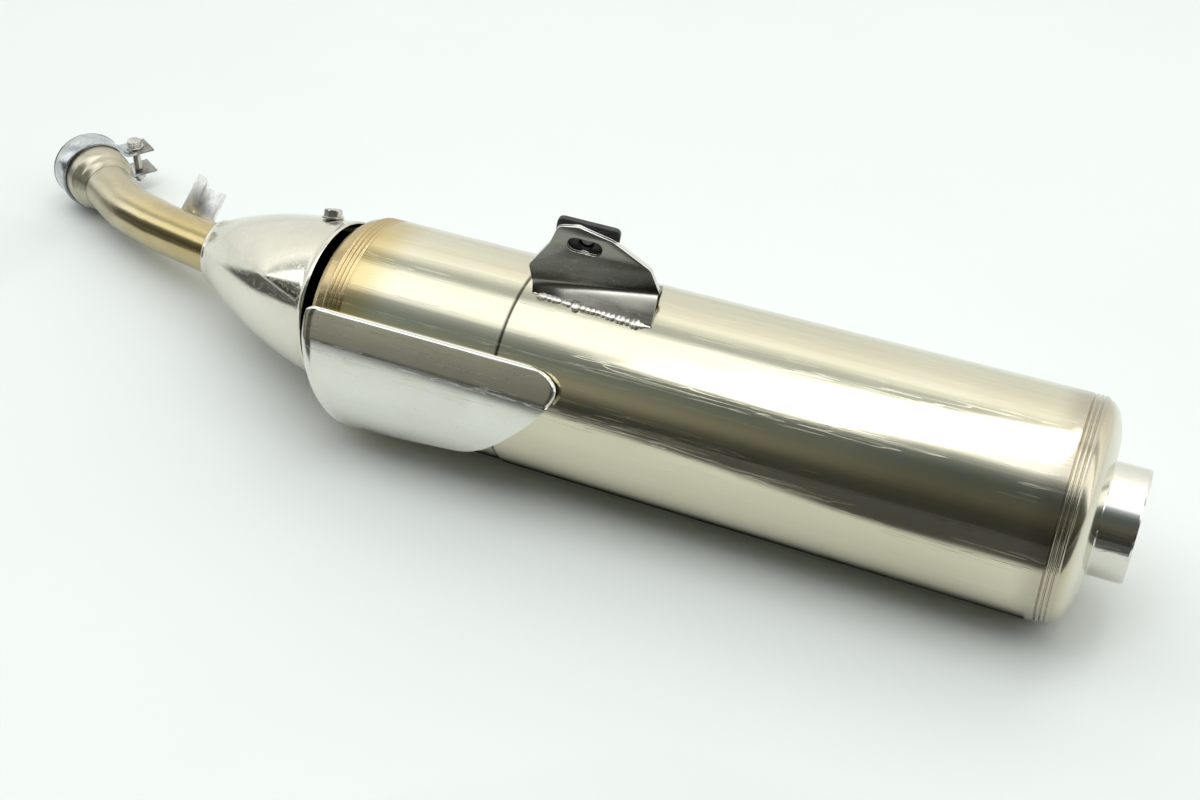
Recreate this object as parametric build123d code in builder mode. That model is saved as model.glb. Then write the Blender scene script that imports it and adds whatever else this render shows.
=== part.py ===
"""Motorcycle exhaust muffler: a stainless two-shell can with an inclined inlet pipe, a cone cover
over the joint, a side shield, a frame hanger, a slotted inlet socket with its band clamp, and the
sound-damping parts inside.

Row frame: +X runs along the can's axis from the inlet towards the tail, +Z is up, and the can lies
on Z = 0. The origin is the centre of the object's footprint on that surface. Millimetres.
"""

from build123d import *
import os
from math import cos, radians, sin, sqrt

os.makedirs("parts", exist_ok=True)

# ---------------------------------------------------------------- driving dimensions
# The can. Lengths along it start at its front edge.
rear_shell_radius = 63.5
sheet = 0.8
front_shell_radius = rear_shell_radius - sheet
can_front = -61.01
axis_y = -48.5
axis_z = rear_shell_radius
bead_depth = 0.7
bead_count = 4
bead_taper = 0.6
front_bead_width = 12.0
seam_x = 116.0
lap_length = 14.0
rear_bead_x = 431.0
rear_bead_width = 8.0
can_length = rear_bead_x + rear_bead_width

# The end caps
cap_sheet = 1.2
cap_flange = 9.0
front_face_x = -21.0
front_face_radius = 25.0
front_shoulder = ((-5.0, 1.0), (-8.5, 3.6), (-11.0, 7.7))
tail_crown_x = can_length + 11.2
tail_crown_radius = 39.0
tail_face_x = can_length + 8.2

# The tail
spout_radius = 31.5
spout_wall = 1.5
spout_bevel = 3.5
spout_base_radius = spout_radius + 1.5
spout_length = 22.0
spout_chamfer = 0.7
outlet_radius = 21.0
outlet_inner_x = 330.0
outlet_stand = 6.0
tube_wall = 1.2

# The inlet socket and its clamp
pipe_radius = 18.0
pipe_wall = 1.5
socket_radius = 24.25
socket_wall = 1.75
socket_yaw = 29.5
flare_length = 15.0
flare_crease = (6.5, 2.6)
socket_gap_length = 7.0
socket_overhang = 4.0
slot_width = 3.2
slot_count = 4
slot_angle = 139.0
clamp_width = 20.0
clamp_clearance = 0.3
clamp_sheet = 1.8
ear_angle = -2.7
ear_height = 20.0
ear_gap = 16.0
gasket_bore_radius = 19.2
gasket_clearance = 0.1
gasket_inset = 3.0
ear_bolt_share = 0.45
bolt_radius = 3.0
bolt_clearance = 0.35
bolt_end = 18.5
bolt_head_height = 4.5
nut_height = 5.5
thread_clearance = 0.05
hex_flats = 10.0
washer_radius = 6.5
washer_thickness = 1.6
band_inner = socket_radius + clamp_clearance
band_outer = band_inner + clamp_sheet

# The inlet pipe's centreline: from inside the can, on its axis, to the socket, which rests on Z = 0
pipe_inner_end = (-6.0, 0.0, axis_z)
pipe_first_corner = (-218.0, 70.0, 31.7)
pipe_second_corner = (-263.0, 87.5, band_outer)
pipe_end_run = 37.0
pipe_bend_radius = 130.0
pipe_weld_radius = 2.2

# The channel bracket on the pipe
channel_x = -188.0
channel_width = 28.0
channel_depth = 11.0
channel_lip = 4.0
channel_top = 39.0
channel_tip = 45.0
channel_sheet = 2.0
channel_lean = (0.0, 0.75, 0.66)

# The cone cover, from the pipe to the front of the can
cover_sheet = 1.2
cover_small_x = -152.0
cover_small_radius = 21.2
cover_large_x = -17.0
cover_large_radius = 51.0
cover_lift = 4.5
cover_bulge = 6.0
cover_sections = 6
cover_rim_width = 3.0
cover_rim_height = 1.0

# The cover's screw and its tab on the front cap
cover_screw_angle = 64.0
cover_screw_share = 0.88
cover_screw_tilt = 6.0
cover_screw_radius = 3.0
cover_screw_flats = 10.0
cover_screw_tip = 39.0
cover_head_height = 4.5
cover_top = 49.9
cover_washer_radius = 7.0
cover_washer_thickness = 1.2
tab_top = 46.0
tab_width = 11.0
tab_sheet = 2.0
tab_start = -6.0
tab_length = 34.0

# The side shield: a sheet round the can's side with a flat facet along its top edge
shield_sheet = 1.5
shield_gap = 5.1
shield_radius = rear_shell_radius + shield_gap + shield_sheet
shield_top_angle = 142.0
shield_crease_angle = 158.0
shield_low_angle = 223.0
shield_front_x = -6.0
shield_end_x = 158.5
shield_outline = (
    (-6.0, 120.0),
    (-6.0, 92.0),
    (0.0, 56.0),
    (6.0, 17.2),
    (60.0, 29.5),
    (97.0, 34.0),
    (120.0, 50.0),
    (152.0, 83.0),
    (159.5, 102.0),
    (141.0, 108.5),
    (141.0, 120.0),
)
shield_fillets = (20.0, 60.0, 6.0, 90.0, 50.0, 60.0, 40.0, 8.0, 1.0)
standoff_radius = 6.0
standoff_places = ((16.0, 172.0), (100.0, 166.0), (50.0, 200.0))

# The hanger: two sheets back to back on an upright plane that is turned a little about Z
hanger_sheet = 2.0
hanger_yaw = 12.6
hanger_foot = (121.6, -11.4, 131.0)
hanger_length = 72.0
hanger_depth = 12.0
hanger_foot_drop = 5.2
front_foot_reach = (2.9, 22.0)
rear_foot_reach = (20.0, 15.5)
hanger_outline = (
    (0.0, -3.0),
    (-2.0, 12.0),
    (10.5, 28.0),
    (15.5, 39.5),
    (27.0, 40.0),
    (46.0, 33.0),
    (67.5, 17.0),
    (73.0, 2.0),
    (72.0, -3.0),
)
hanger_fillet = 5.0
hanger_slope = -9.0
hanger_slot_centre = (30.3, 27.5)
hanger_slot_length = 20.0
hanger_slot_width = 9.0
nut_plate_size = (36.0, 25.0)
nut_plate_sheet = 4.0
hanger_bolt_radius = 4.0
hanger_nut_flats = 13.0
hanger_nut_height = 6.5
thread_core_radius = 3.4
weld_radius = 2.0

# The inside of the can
baffle_sheet = 1.2
baffle_flange = 8.0
front_baffle_x = 92.0
middle_baffle_x = 240.0
rear_baffle_x = 350.0
vent_radius = 6.0
vent_circle = 42.0
vent_count = 4
hole_radius = 3.0
core_radius = 22.0
core_start_x = 12.0
core_end_x = 300.0
core_hole_rows = 12
core_hole_pitch = 20.0
core_hole_planes = 3
liner_radius = 51.0
liner_start_x = seam_x + lap_length + 2.0
liner_hole_rows = 7
liner_hole_pitch = 14.0
liner_hole_planes = 5
transfer_radius = 11.0
transfer_offset = 36.5
transfer_reach = 30.0


# ---------------------------------------------------------------- shared geometry
def at(x, y=0.0, z=0.0):
    """A point given from the can's front edge, the can's axis plane and the resting surface."""
    return Vector(can_front + x, axis_y + y, z)


can_origin = at(0, 0, axis_z)
can_axis = Axis(can_origin, (1, 0, 0))
can_profile = Plane(origin=can_origin, x_dir=(1, 0, 0), z_dir=(0, -1, 0))


def can_plane(x):
    """The plane across the can at x, with local x along +Y and local y along +Z."""
    return Plane(origin=at(x, 0, axis_z), x_dir=(0, 1, 0), z_dir=(1, 0, 0))


def radial_plane(x, angle):
    """A plane on the can's axis at x that faces outwards at an angle from +Y towards +Z."""
    outwards = (0, cos(radians(angle)), sin(radians(angle)))
    return Plane(origin=at(x, 0, axis_z), x_dir=(1, 0, 0), z_dir=outwards)


def polar(radius, angle):
    """A point at a radius and an angle, for a sketch across an axis."""
    return (radius * cos(radians(angle)), radius * sin(radians(angle)))


def finish(piece, name):
    """Labels a finished piece and writes its STEP file."""
    piece.label = name
    export_step(piece, f"parts/{name}.step")


def ring_profile(points):
    """Draws a closed outline of (along the axis, radius) points, to be revolved."""
    Polygon(*points, align=None)


def beaded_edge(start, width, radius):
    """Outline points of a rolled seam: rounded ridges of equal pitch around the can's edge."""
    pitch = width / bead_count
    points = []
    for i in range(bead_count):
        left = start + i * pitch
        points += [(left, radius - bead_depth), (left + 0.3 * pitch, radius)]
        points += [(left + 0.7 * pitch, radius)]
    return points + [(start + width, radius - bead_depth)]


# ---------------------------------------------------------------- the can's shells
front_inner = front_shell_radius - sheet
front_bead_inner = front_inner - bead_depth
lap_end = seam_x + lap_length
with BuildPart() as front_shell:
    with BuildSketch(can_profile):
        ring_profile(
            beaded_edge(0, front_bead_width, front_shell_radius)
            + [(front_bead_width + bead_taper, front_shell_radius), (lap_end, front_shell_radius)]
            + [(lap_end, front_inner), (front_bead_width + 2 * bead_taper, front_inner)]
            + [(front_bead_width, front_bead_inner), (0, front_bead_inner)]
        )
    revolve(axis=can_axis)
finish(front_shell.part, "front_shell")

rear_inner = rear_shell_radius - sheet
rear_bead_inner = rear_inner - bead_depth
with BuildPart() as rear_shell:
    with BuildSketch(can_profile):
        ring_profile(
            [(seam_x, rear_inner), (seam_x, rear_shell_radius)]
            + [(rear_bead_x - bead_taper, rear_shell_radius)]
            + beaded_edge(rear_bead_x, rear_bead_width, rear_shell_radius)
            + [(can_length, rear_bead_inner), (rear_bead_x, rear_bead_inner)]
            + [(rear_bead_x - 2 * bead_taper, rear_inner)]
        )
    revolve(axis=can_axis)
finish(rear_shell.part, "rear_shell")

with BuildPart() as can_block:
    with BuildSketch(can_plane(0)):
        Circle(rear_shell_radius)
    extrude(amount=can_length)

# ---------------------------------------------------------------- the inlet pipe
pipe_start = at(*pipe_inner_end)
corner_1 = at(*pipe_first_corner)
corner_2 = at(*pipe_second_corner)
socket_dir = Vector(-cos(radians(socket_yaw)), sin(radians(socket_yaw)), 0)
socket_out = Vector(sin(radians(socket_yaw)), cos(radians(socket_yaw)), 0)
pipe_end = corner_2 + socket_dir * pipe_end_run
pipe_dir = (corner_1 - pipe_start).normalized()
pipe_plane = Plane(origin=pipe_start, x_dir=(0, 0, 1), z_dir=pipe_dir)


def pipe_point(x):
    """The point on the pipe's first straight run at x from the can's front edge."""
    share = (x - pipe_inner_end[0]) / (pipe_first_corner[0] - pipe_inner_end[0])
    return pipe_start + (corner_1 - pipe_start) * share


with BuildPart() as inlet_pipe:
    with BuildLine() as route:
        FilletPolyline(pipe_start, corner_1, corner_2, pipe_end, radius=pipe_bend_radius)
    with BuildSketch(pipe_plane):
        Circle(pipe_radius)
        Circle(pipe_radius - pipe_wall, mode=Mode.SUBTRACT)
    sweep(path=route.line)
finish(inlet_pipe.part, "inlet_pipe")

with BuildPart() as pipe_block:
    with BuildSketch(pipe_plane):
        Circle(pipe_radius)
    extrude(amount=(corner_1 - pipe_start).length)

# ---------------------------------------------------------------- the inlet socket
socket_profile = Plane(origin=pipe_end, x_dir=socket_dir, z_dir=socket_out)
socket_axis = Axis(pipe_end, socket_dir)
band_start = flare_length + socket_gap_length
socket_length = band_start + clamp_width + socket_overhang
socket_bore = socket_radius - socket_wall
crease_x, crease_rise = flare_crease


def socket_plane(along, angle):
    """A plane on the socket's axis that faces outwards; angle 0 is level, away from the can."""
    outwards = socket_out * cos(radians(angle)) + Vector(0, 0, 1) * sin(radians(angle))
    return Plane(origin=pipe_end + socket_dir * along, x_dir=socket_dir, z_dir=outwards)


with BuildPart() as inlet_socket:
    with BuildSketch(socket_profile):
        ring_profile(
            [(0, pipe_radius - pipe_wall), (0, pipe_radius)]
            + [(crease_x, pipe_radius + crease_rise), (flare_length, socket_radius)]
            + [(socket_length, socket_radius), (socket_length, socket_bore)]
            + [(flare_length, socket_bore), (crease_x, pipe_radius + crease_rise - pipe_wall)]
        )
    revolve(axis=socket_axis)
    for i in range(slot_count):
        with BuildSketch(socket_plane(socket_length, slot_angle + 360 / slot_count * i)):
            SlotOverall(2 * (clamp_width + socket_overhang), slot_width)
        extrude(amount=band_outer, mode=Mode.SUBTRACT)
finish(inlet_socket.part, "inlet_socket")

gasket_outer = socket_bore - gasket_clearance
with BuildPart() as gasket_ring:
    with BuildSketch(socket_profile):
        ring_profile(
            [(flare_length, gasket_bore_radius), (flare_length, gasket_outer)]
            + [(socket_length - gasket_inset, gasket_outer)]
            + [(socket_length - gasket_inset, gasket_bore_radius)]
        )
    revolve(axis=socket_axis)
finish(gasket_ring.part, "gasket_ring")

# ---------------------------------------------------------------- the band clamp
ear_reach = band_outer + ear_height
bolt_reach = band_outer + ear_bolt_share * ear_height
ear_inner = ear_gap / 2
ear_outer = ear_inner + clamp_sheet
ear_plane = socket_plane(band_start + clamp_width / 2, ear_angle)
bolt_origin = ear_plane.origin + ear_plane.z_dir * bolt_reach
clamp_across = Plane(
    origin=pipe_end + socket_dir * band_start, x_dir=ear_plane.z_dir, z_dir=socket_dir
)


def bolt_plane(height):
    """A plane across the clamp bolt, at a height above the middle of the clamp's gap."""
    bolt_dir = ear_plane.y_dir
    return Plane(origin=bolt_origin + bolt_dir * height, x_dir=socket_dir, z_dir=bolt_dir)


with BuildPart() as clamp_band:
    with BuildSketch(clamp_across):
        Circle(band_outer)
        with Locations((ear_reach / 2, 0)):
            Rectangle(ear_reach, 2 * ear_outer)
        Circle(band_inner, mode=Mode.SUBTRACT)
        with Locations((ear_reach / 2, 0)):
            Rectangle(ear_reach + 2, 2 * ear_inner, mode=Mode.SUBTRACT)
    extrude(amount=clamp_width)
    with BuildSketch(bolt_plane(0)):
        Circle(bolt_radius + bolt_clearance)
    extrude(amount=bolt_end, both=True, mode=Mode.SUBTRACT)
finish(clamp_band.part, "clamp_band")

with BuildPart() as clamp_washer:
    with BuildSketch(bolt_plane(ear_outer)):
        Circle(washer_radius)
        Circle(bolt_radius + bolt_clearance, mode=Mode.SUBTRACT)
    extrude(amount=washer_thickness)
finish(clamp_washer.part, "clamp_washer")

with BuildPart() as clamp_nut:
    with BuildSketch(bolt_plane(-ear_outer - nut_height)):
        RegularPolygon(hex_flats / 2, 6, major_radius=False)
        Circle(bolt_radius + thread_clearance, mode=Mode.SUBTRACT)
    extrude(amount=nut_height)
finish(clamp_nut.part, "clamp_nut")

head_seat = ear_outer + washer_thickness
with BuildPart() as clamp_bolt:
    with BuildSketch(bolt_plane(head_seat)):
        RegularPolygon(hex_flats / 2, 6, major_radius=False)
    extrude(amount=bolt_head_height)
    with BuildSketch(bolt_plane(-bolt_end)):
        Circle(bolt_radius)
    extrude(amount=bolt_end + head_seat)
finish(clamp_bolt.part, "clamp_bolt")

# ---------------------------------------------------------------- the channel bracket
channel_out = Vector(*channel_lean)
channel_out = (channel_out - pipe_dir * channel_out.dot(pipe_dir)).normalized()
channel_plane = Plane(origin=pipe_point(channel_x), x_dir=pipe_dir, z_dir=channel_out)
with BuildPart() as pipe_channel:
    with BuildSketch(channel_plane):
        with Locations((0, (channel_sheet - channel_depth) / 2)):
            Rectangle(channel_width, channel_sheet)
        with Locations(((channel_sheet - channel_width) / 2, (channel_lip - channel_depth) / 2)):
            Rectangle(channel_sheet, channel_lip)
    extrude(amount=channel_top)
    with BuildSketch(channel_plane):
        with Locations(((channel_width - channel_sheet) / 2, 0)):
            Rectangle(channel_sheet, channel_depth)
    extrude(amount=channel_tip)
    add(pipe_block.part, mode=Mode.SUBTRACT)
finish(pipe_channel.part, "pipe_channel")

# ---------------------------------------------------------------- the front cap
with BuildPart() as front_cap:
    with BuildSketch(can_profile):
        ring_profile(
            [(cap_flange, front_bead_inner), (0, front_bead_inner)]
            + [(x, front_bead_inner - drop) for x, drop in front_shoulder]
            + [(front_face_x, front_face_radius), (front_face_x, 0), (front_face_x + cap_sheet, 0)]
            + [(front_face_x + cap_sheet, front_face_radius - 0.4)]
            + [(x + 0.9, front_bead_inner - drop - 0.8) for x, drop in reversed(front_shoulder)]
            + [(0, front_bead_inner - cap_sheet), (cap_flange, front_bead_inner - cap_sheet)]
        )
    revolve(axis=can_axis)
    add(pipe_block.part, mode=Mode.SUBTRACT)
finish(front_cap.part, "front_cap")

weld_centre = pipe_point(front_face_x)
with BuildPart() as inlet_weld:
    with BuildSketch(Plane(origin=weld_centre, x_dir=(0, 1, 0), z_dir=(0, 0, 1))):
        with Locations((pipe_radius + 0.8, 0)):
            Circle(pipe_weld_radius)
    revolve(axis=Axis(weld_centre, (1, 0, 0)))
    add(pipe_block.part, mode=Mode.SUBTRACT)
    with BuildSketch(Plane(origin=weld_centre, x_dir=(0, 1, 0), z_dir=(1, 0, 0))):
        Circle(2 * pipe_radius)
    extrude(amount=2 * pipe_weld_radius, mode=Mode.SUBTRACT)
finish(inlet_weld.part, "inlet_weld")

# ---------------------------------------------------------------- the rear cap and the tail
tail_face_radius = spout_radius - spout_wall - 0.5
with BuildPart() as rear_cap:
    with BuildSketch(can_profile):
        with BuildLine():
            crown = Spline(
                (can_length, rear_bead_inner),
                (can_length + 6.6, rear_bead_inner - 8.0),
                (tail_crown_x, tail_crown_radius),
                tangents=((1, 0), (0, -1)),
            )
            inner_crown = Spline(
                (can_length, rear_bead_inner - cap_sheet),
                (can_length + 6.6 - cap_sheet, rear_bead_inner - 8.8),
                (tail_crown_x - cap_sheet, tail_crown_radius),
                tangents=((1, 0), (0, -1)),
            )
            Polyline(crown @ 1, (tail_face_x, spout_base_radius), (tail_face_x, outlet_radius))
            Polyline(
                (tail_face_x, outlet_radius),
                (tail_face_x - cap_sheet, outlet_radius),
                (tail_face_x - cap_sheet, spout_base_radius + cap_sheet),
                inner_crown @ 1,
            )
            Polyline(
                crown @ 0,
                (can_length - rear_bead_width + 1, rear_bead_inner),
                (can_length - rear_bead_width + 1, rear_bead_inner - cap_sheet),
                inner_crown @ 0,
            )
        make_face()
    revolve(axis=can_axis)
finish(rear_cap.part, "rear_cap")

spout_end = tail_face_x + spout_length
spout_bore = spout_radius - spout_wall
with BuildPart() as tail_spout:
    with BuildSketch(can_profile):
        ring_profile(
            [(tail_face_x, spout_bore), (tail_face_x, spout_base_radius)]
            + [(tail_face_x + spout_bevel, spout_radius), (spout_end - spout_chamfer, spout_radius)]
            + [(spout_end, spout_radius - spout_chamfer), (spout_end, spout_bore)]
        )
    revolve(axis=can_axis)
finish(tail_spout.part, "tail_spout")

with BuildPart() as outlet_tube:
    with BuildSketch(can_plane(outlet_inner_x)):
        Circle(outlet_radius)
        Circle(outlet_radius - tube_wall, mode=Mode.SUBTRACT)
    extrude(amount=tail_face_x + outlet_stand - outlet_inner_x)
finish(outlet_tube.part, "outlet_tube")

# ---------------------------------------------------------------- the cone cover
cover_small_centre = pipe_point(cover_small_x)
cover_large_centre = at(cover_large_x, 0, axis_z + cover_lift)


def cover_centre(share):
    """The cover's centreline, from the pipe at 0 to the can at 1."""
    return cover_small_centre + (cover_large_centre - cover_small_centre) * share


def cover_radius(share):
    """The cover's outer radius along its centreline, with the bulge of its pressed shape."""
    straight = cover_small_radius + (cover_large_radius - cover_small_radius) * share
    return straight + 4 * cover_bulge * share * (1 - share)


cover_screw_plane = Plane(
    origin=cover_centre(cover_screw_share),
    x_dir=(1, 0, 0),
    z_dir=(0, cos(radians(cover_screw_angle)), sin(radians(cover_screw_angle))),
).rotated((0, -cover_screw_tilt, 0))
cover_shares = [i / (cover_sections - 1) for i in range(cover_sections)]
with BuildPart() as cone_cover:
    for share in cover_shares:
        with BuildSketch(Plane(origin=cover_centre(share), x_dir=(0, 1, 0), z_dir=(1, 0, 0))):
            Circle(cover_radius(share))
    loft()
    with BuildSketch(Plane(origin=cover_large_centre, x_dir=(0, 1, 0), z_dir=(-1, 0, 0))):
        Circle(cover_large_radius + cover_rim_height)
    extrude(amount=cover_rim_width)
    for share in cover_shares:
        with BuildSketch(Plane(origin=cover_centre(share), x_dir=(0, 1, 0), z_dir=(1, 0, 0))):
            Circle(cover_radius(share) - cover_sheet)
    loft(mode=Mode.SUBTRACT)
    with BuildSketch(cover_screw_plane):
        Circle(cover_screw_radius + bolt_clearance)
    extrude(amount=2 * cover_large_radius, mode=Mode.SUBTRACT)
finish(cone_cover.part, "cone_cover")

# ---------------------------------------------------------------- the cover's screw and tab
with BuildPart() as cap_block:
    with BuildSketch(can_profile):
        ring_profile(
            [(0, 0), (0, front_bead_inner)]
            + [(x, front_bead_inner - drop) for x, drop in front_shoulder]
            + [(front_face_x, front_face_radius), (front_face_x, 0)]
        )
    revolve(axis=can_axis)

with BuildPart() as cover_tab:
    with BuildSketch(cover_screw_plane.offset(tab_top - tab_sheet)):
        with Locations((tab_start + tab_length / 2, 0)):
            Rectangle(tab_length, tab_width)
        Circle(cover_screw_radius + thread_clearance, mode=Mode.SUBTRACT)
    extrude(amount=tab_sheet)
    add(cap_block.part, mode=Mode.SUBTRACT)
finish(cover_tab.part, "cover_tab")

with BuildPart() as cover_washer:
    with BuildSketch(cover_screw_plane.offset(cover_top)):
        Circle(cover_washer_radius)
        Circle(cover_screw_radius + bolt_clearance, mode=Mode.SUBTRACT)
    extrude(amount=cover_washer_thickness)
finish(cover_washer.part, "cover_washer")

cover_head_seat = cover_top + cover_washer_thickness
with BuildPart() as cover_screw:
    with BuildSketch(cover_screw_plane.offset(cover_head_seat)):
        RegularPolygon(cover_screw_flats / 2, 6, major_radius=False)
    extrude(amount=cover_head_height)
    with BuildSketch(cover_screw_plane.offset(cover_head_seat)):
        Circle(cover_screw_radius)
    extrude(amount=cover_screw_tip - cover_head_seat)
finish(cover_screw.part, "cover_screw")

# ---------------------------------------------------------------- the side shield
shield_inner = shield_radius - shield_sheet
shield_plane = can_plane(shield_front_x)
outline_plane = Plane(origin=at(0, 0, 0), x_dir=(1, 0, 0), z_dir=(0, -1, 0))
with BuildPart() as side_shield:
    with BuildSketch(shield_plane):
        with BuildLine():
            outer = CenterArc(
                (0, 0), shield_radius, shield_crease_angle, shield_low_angle - shield_crease_angle
            )
            inner = CenterArc(
                (0, 0), shield_inner, shield_crease_angle, shield_low_angle - shield_crease_angle
            )
            Polyline(
                outer @ 0,
                polar(shield_radius, shield_top_angle),
                polar(shield_inner, shield_top_angle),
                inner @ 0,
            )
            Line(outer @ 1, inner @ 1)
        make_face()
    extrude(amount=shield_end_x - shield_front_x)
    with BuildSketch(outline_plane):
        with BuildLine():
            rim = FilletPolyline(*shield_outline, radius=shield_fillets)
            Line(rim @ 1, rim @ 0)
        make_face()
    extrude(amount=2 * shield_radius, mode=Mode.INTERSECT)
finish(side_shield.part, "side_shield")

with BuildPart() as shield_standoffs:
    for place_x, place_angle in standoff_places:
        with BuildSketch(radial_plane(place_x, place_angle)):
            Circle(standoff_radius)
        extrude(amount=shield_radius)
    with BuildSketch(can_plane(0)):
        Circle(shield_inner)
    extrude(amount=seam_x, mode=Mode.INTERSECT)
    with BuildSketch(can_plane(0)):
        Circle(front_shell_radius)
    extrude(amount=seam_x, mode=Mode.SUBTRACT)
finish(shield_standoffs.part, "shield_standoffs")

# ---------------------------------------------------------------- the hanger
hanger_dir = Vector(cos(radians(hanger_yaw)), sin(radians(hanger_yaw)), 0)
hanger_front = Vector(sin(radians(hanger_yaw)), -cos(radians(hanger_yaw)), 0)
hanger_plane = Plane(origin=at(*hanger_foot), x_dir=hanger_dir, z_dir=hanger_front)


def foot_section(along, reach, side):
    """Sketches a hanger foot's section at a distance along the sheet; side is 1 or -1."""
    origin = hanger_plane.origin + hanger_dir * along
    with BuildSketch(Plane(origin=origin, x_dir=hanger_front, z_dir=-hanger_dir)) as section:
        points = [(0, 0), (hanger_sheet, 0), (reach, -hanger_foot_drop), (reach, -hanger_depth)]
        points += [(0, -hanger_depth)]
        Polygon(*[(side * across, up) for across, up in points], align=None)
    return section.sketch


def hanger_half(reaches, side):
    """One of the hanger's two sheets, with the foot that is welded to the can."""
    near = foot_section(0, reaches[0], side)
    far = foot_section(hanger_length, reaches[1], side)
    with BuildPart() as half:
        loft([near, far], ruled=True)
        with BuildSketch(hanger_plane):
            with BuildLine():
                edge = FilletPolyline(*hanger_outline, radius=hanger_fillet)
                Line(edge @ 1, edge @ 0)
            make_face()
            with Locations(hanger_slot_centre):
                SlotOverall(
                    hanger_slot_length,
                    hanger_slot_width,
                    rotation=hanger_slope,
                    mode=Mode.SUBTRACT,
                )
        extrude(amount=side * hanger_sheet)
        add(can_block.part, mode=Mode.SUBTRACT)
    return half.part


hanger_front_sheet = hanger_half(front_foot_reach, 1)
hanger_rear_sheet = hanger_half(rear_foot_reach, -1)
finish(hanger_front_sheet, "hanger_front_sheet")
finish(hanger_rear_sheet, "hanger_rear_sheet")


def foot_corner(along, reach, side):
    """The point on the can under the outer edge of a hanger foot."""
    point = hanger_plane.origin + hanger_dir * along + hanger_front * (side * reach)
    height = sqrt(rear_shell_radius**2 - (point.Y - axis_y) ** 2)
    return Vector(point.X, point.Y, axis_z + height)


with BuildPart() as hanger_welds:
    for reaches, side in ((front_foot_reach, 1), (rear_foot_reach, -1)):
        near = foot_corner(0, reaches[0], side)
        far = foot_corner(hanger_length, reaches[1], side)
        with BuildSketch(Plane(origin=near, z_dir=far - near)):
            Circle(weld_radius)
        extrude(amount=(far - near).length)
    add(can_block.part, mode=Mode.SUBTRACT)
    add(hanger_front_sheet, mode=Mode.SUBTRACT)
    add(hanger_rear_sheet, mode=Mode.SUBTRACT)
finish(hanger_welds.part, "hanger_welds")

nut_plate_plane = hanger_plane.offset(-hanger_sheet)
with BuildPart() as nut_plate:
    with BuildSketch(nut_plate_plane):
        with Locations(hanger_slot_centre):
            RectangleRounded(*nut_plate_size, hanger_fillet, rotation=hanger_slope)
            Circle(hanger_bolt_radius + bolt_clearance, mode=Mode.SUBTRACT)
    extrude(amount=-nut_plate_sheet)
finish(nut_plate.part, "nut_plate")

with BuildPart() as hanger_nut:
    with BuildSketch(nut_plate_plane.offset(-nut_plate_sheet)):
        with Locations(hanger_slot_centre):
            RegularPolygon(hanger_nut_flats / 2, 6, major_radius=False)
            Circle(thread_core_radius, mode=Mode.SUBTRACT)
    extrude(amount=-hanger_nut_height)
finish(hanger_nut.part, "hanger_nut")

# ---------------------------------------------------------------- the inside of the can
transfer_places = [(0, transfer_offset), (0, -transfer_offset)]
with BuildPart() as front_baffle:
    with BuildSketch(can_profile):
        ring_profile(
            [(front_baffle_x, 0), (front_baffle_x, front_inner)]
            + [(front_baffle_x + baffle_flange, front_inner)]
            + [(front_baffle_x + baffle_flange, front_inner - baffle_sheet)]
            + [(front_baffle_x + baffle_sheet, front_inner - baffle_sheet)]
            + [(front_baffle_x + baffle_sheet, 0)]
        )
    revolve(axis=can_axis)
    with BuildSketch(can_plane(front_baffle_x)):
        Circle(core_radius)
        with Locations(transfer_places):
            Circle(transfer_radius)
    extrude(amount=baffle_sheet, mode=Mode.SUBTRACT)
finish(front_baffle.part, "front_baffle")

with BuildPart() as middle_baffle:
    with BuildSketch(can_profile):
        ring_profile(
            [(middle_baffle_x, 0), (middle_baffle_x, rear_inner)]
            + [(middle_baffle_x + baffle_flange, rear_inner)]
            + [(middle_baffle_x + baffle_flange, rear_inner - baffle_sheet)]
            + [(middle_baffle_x + baffle_sheet, rear_inner - baffle_sheet)]
            + [(middle_baffle_x + baffle_sheet, 0)]
        )
    revolve(axis=can_axis)
    with BuildSketch(can_plane(middle_baffle_x)):
        Circle(core_radius)
        with Locations(transfer_places):
            Circle(transfer_radius)
    extrude(amount=baffle_sheet, mode=Mode.SUBTRACT)
finish(middle_baffle.part, "middle_baffle")

with BuildPart() as rear_baffle:
    with BuildSketch(can_profile):
        ring_profile(
            [(rear_baffle_x, 0), (rear_baffle_x, rear_inner)]
            + [(rear_baffle_x + baffle_flange, rear_inner)]
            + [(rear_baffle_x + baffle_flange, rear_inner - baffle_sheet)]
            + [(rear_baffle_x + baffle_sheet, rear_inner - baffle_sheet)]
            + [(rear_baffle_x + baffle_sheet, 0)]
        )
    revolve(axis=can_axis)
    with BuildSketch(can_plane(rear_baffle_x)):
        Circle(outlet_radius)
        with PolarLocations(vent_circle, vent_count):
            Circle(vent_radius)
    extrude(amount=baffle_sheet, mode=Mode.SUBTRACT)
finish(rear_baffle.part, "rear_baffle")

with BuildPart() as core_tube:
    with BuildSketch(can_plane(core_start_x)):
        Circle(core_radius)
        Circle(core_radius - tube_wall, mode=Mode.SUBTRACT)
    extrude(amount=core_end_x - core_start_x)
    for i in range(core_hole_planes):
        with BuildSketch(radial_plane((core_start_x + core_end_x) / 2, i * 180 / core_hole_planes)):
            with GridLocations(core_hole_pitch, 1, core_hole_rows, 1):
                Circle(hole_radius)
        extrude(amount=2 * core_radius, both=True, mode=Mode.SUBTRACT)
finish(core_tube.part, "core_tube")

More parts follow.
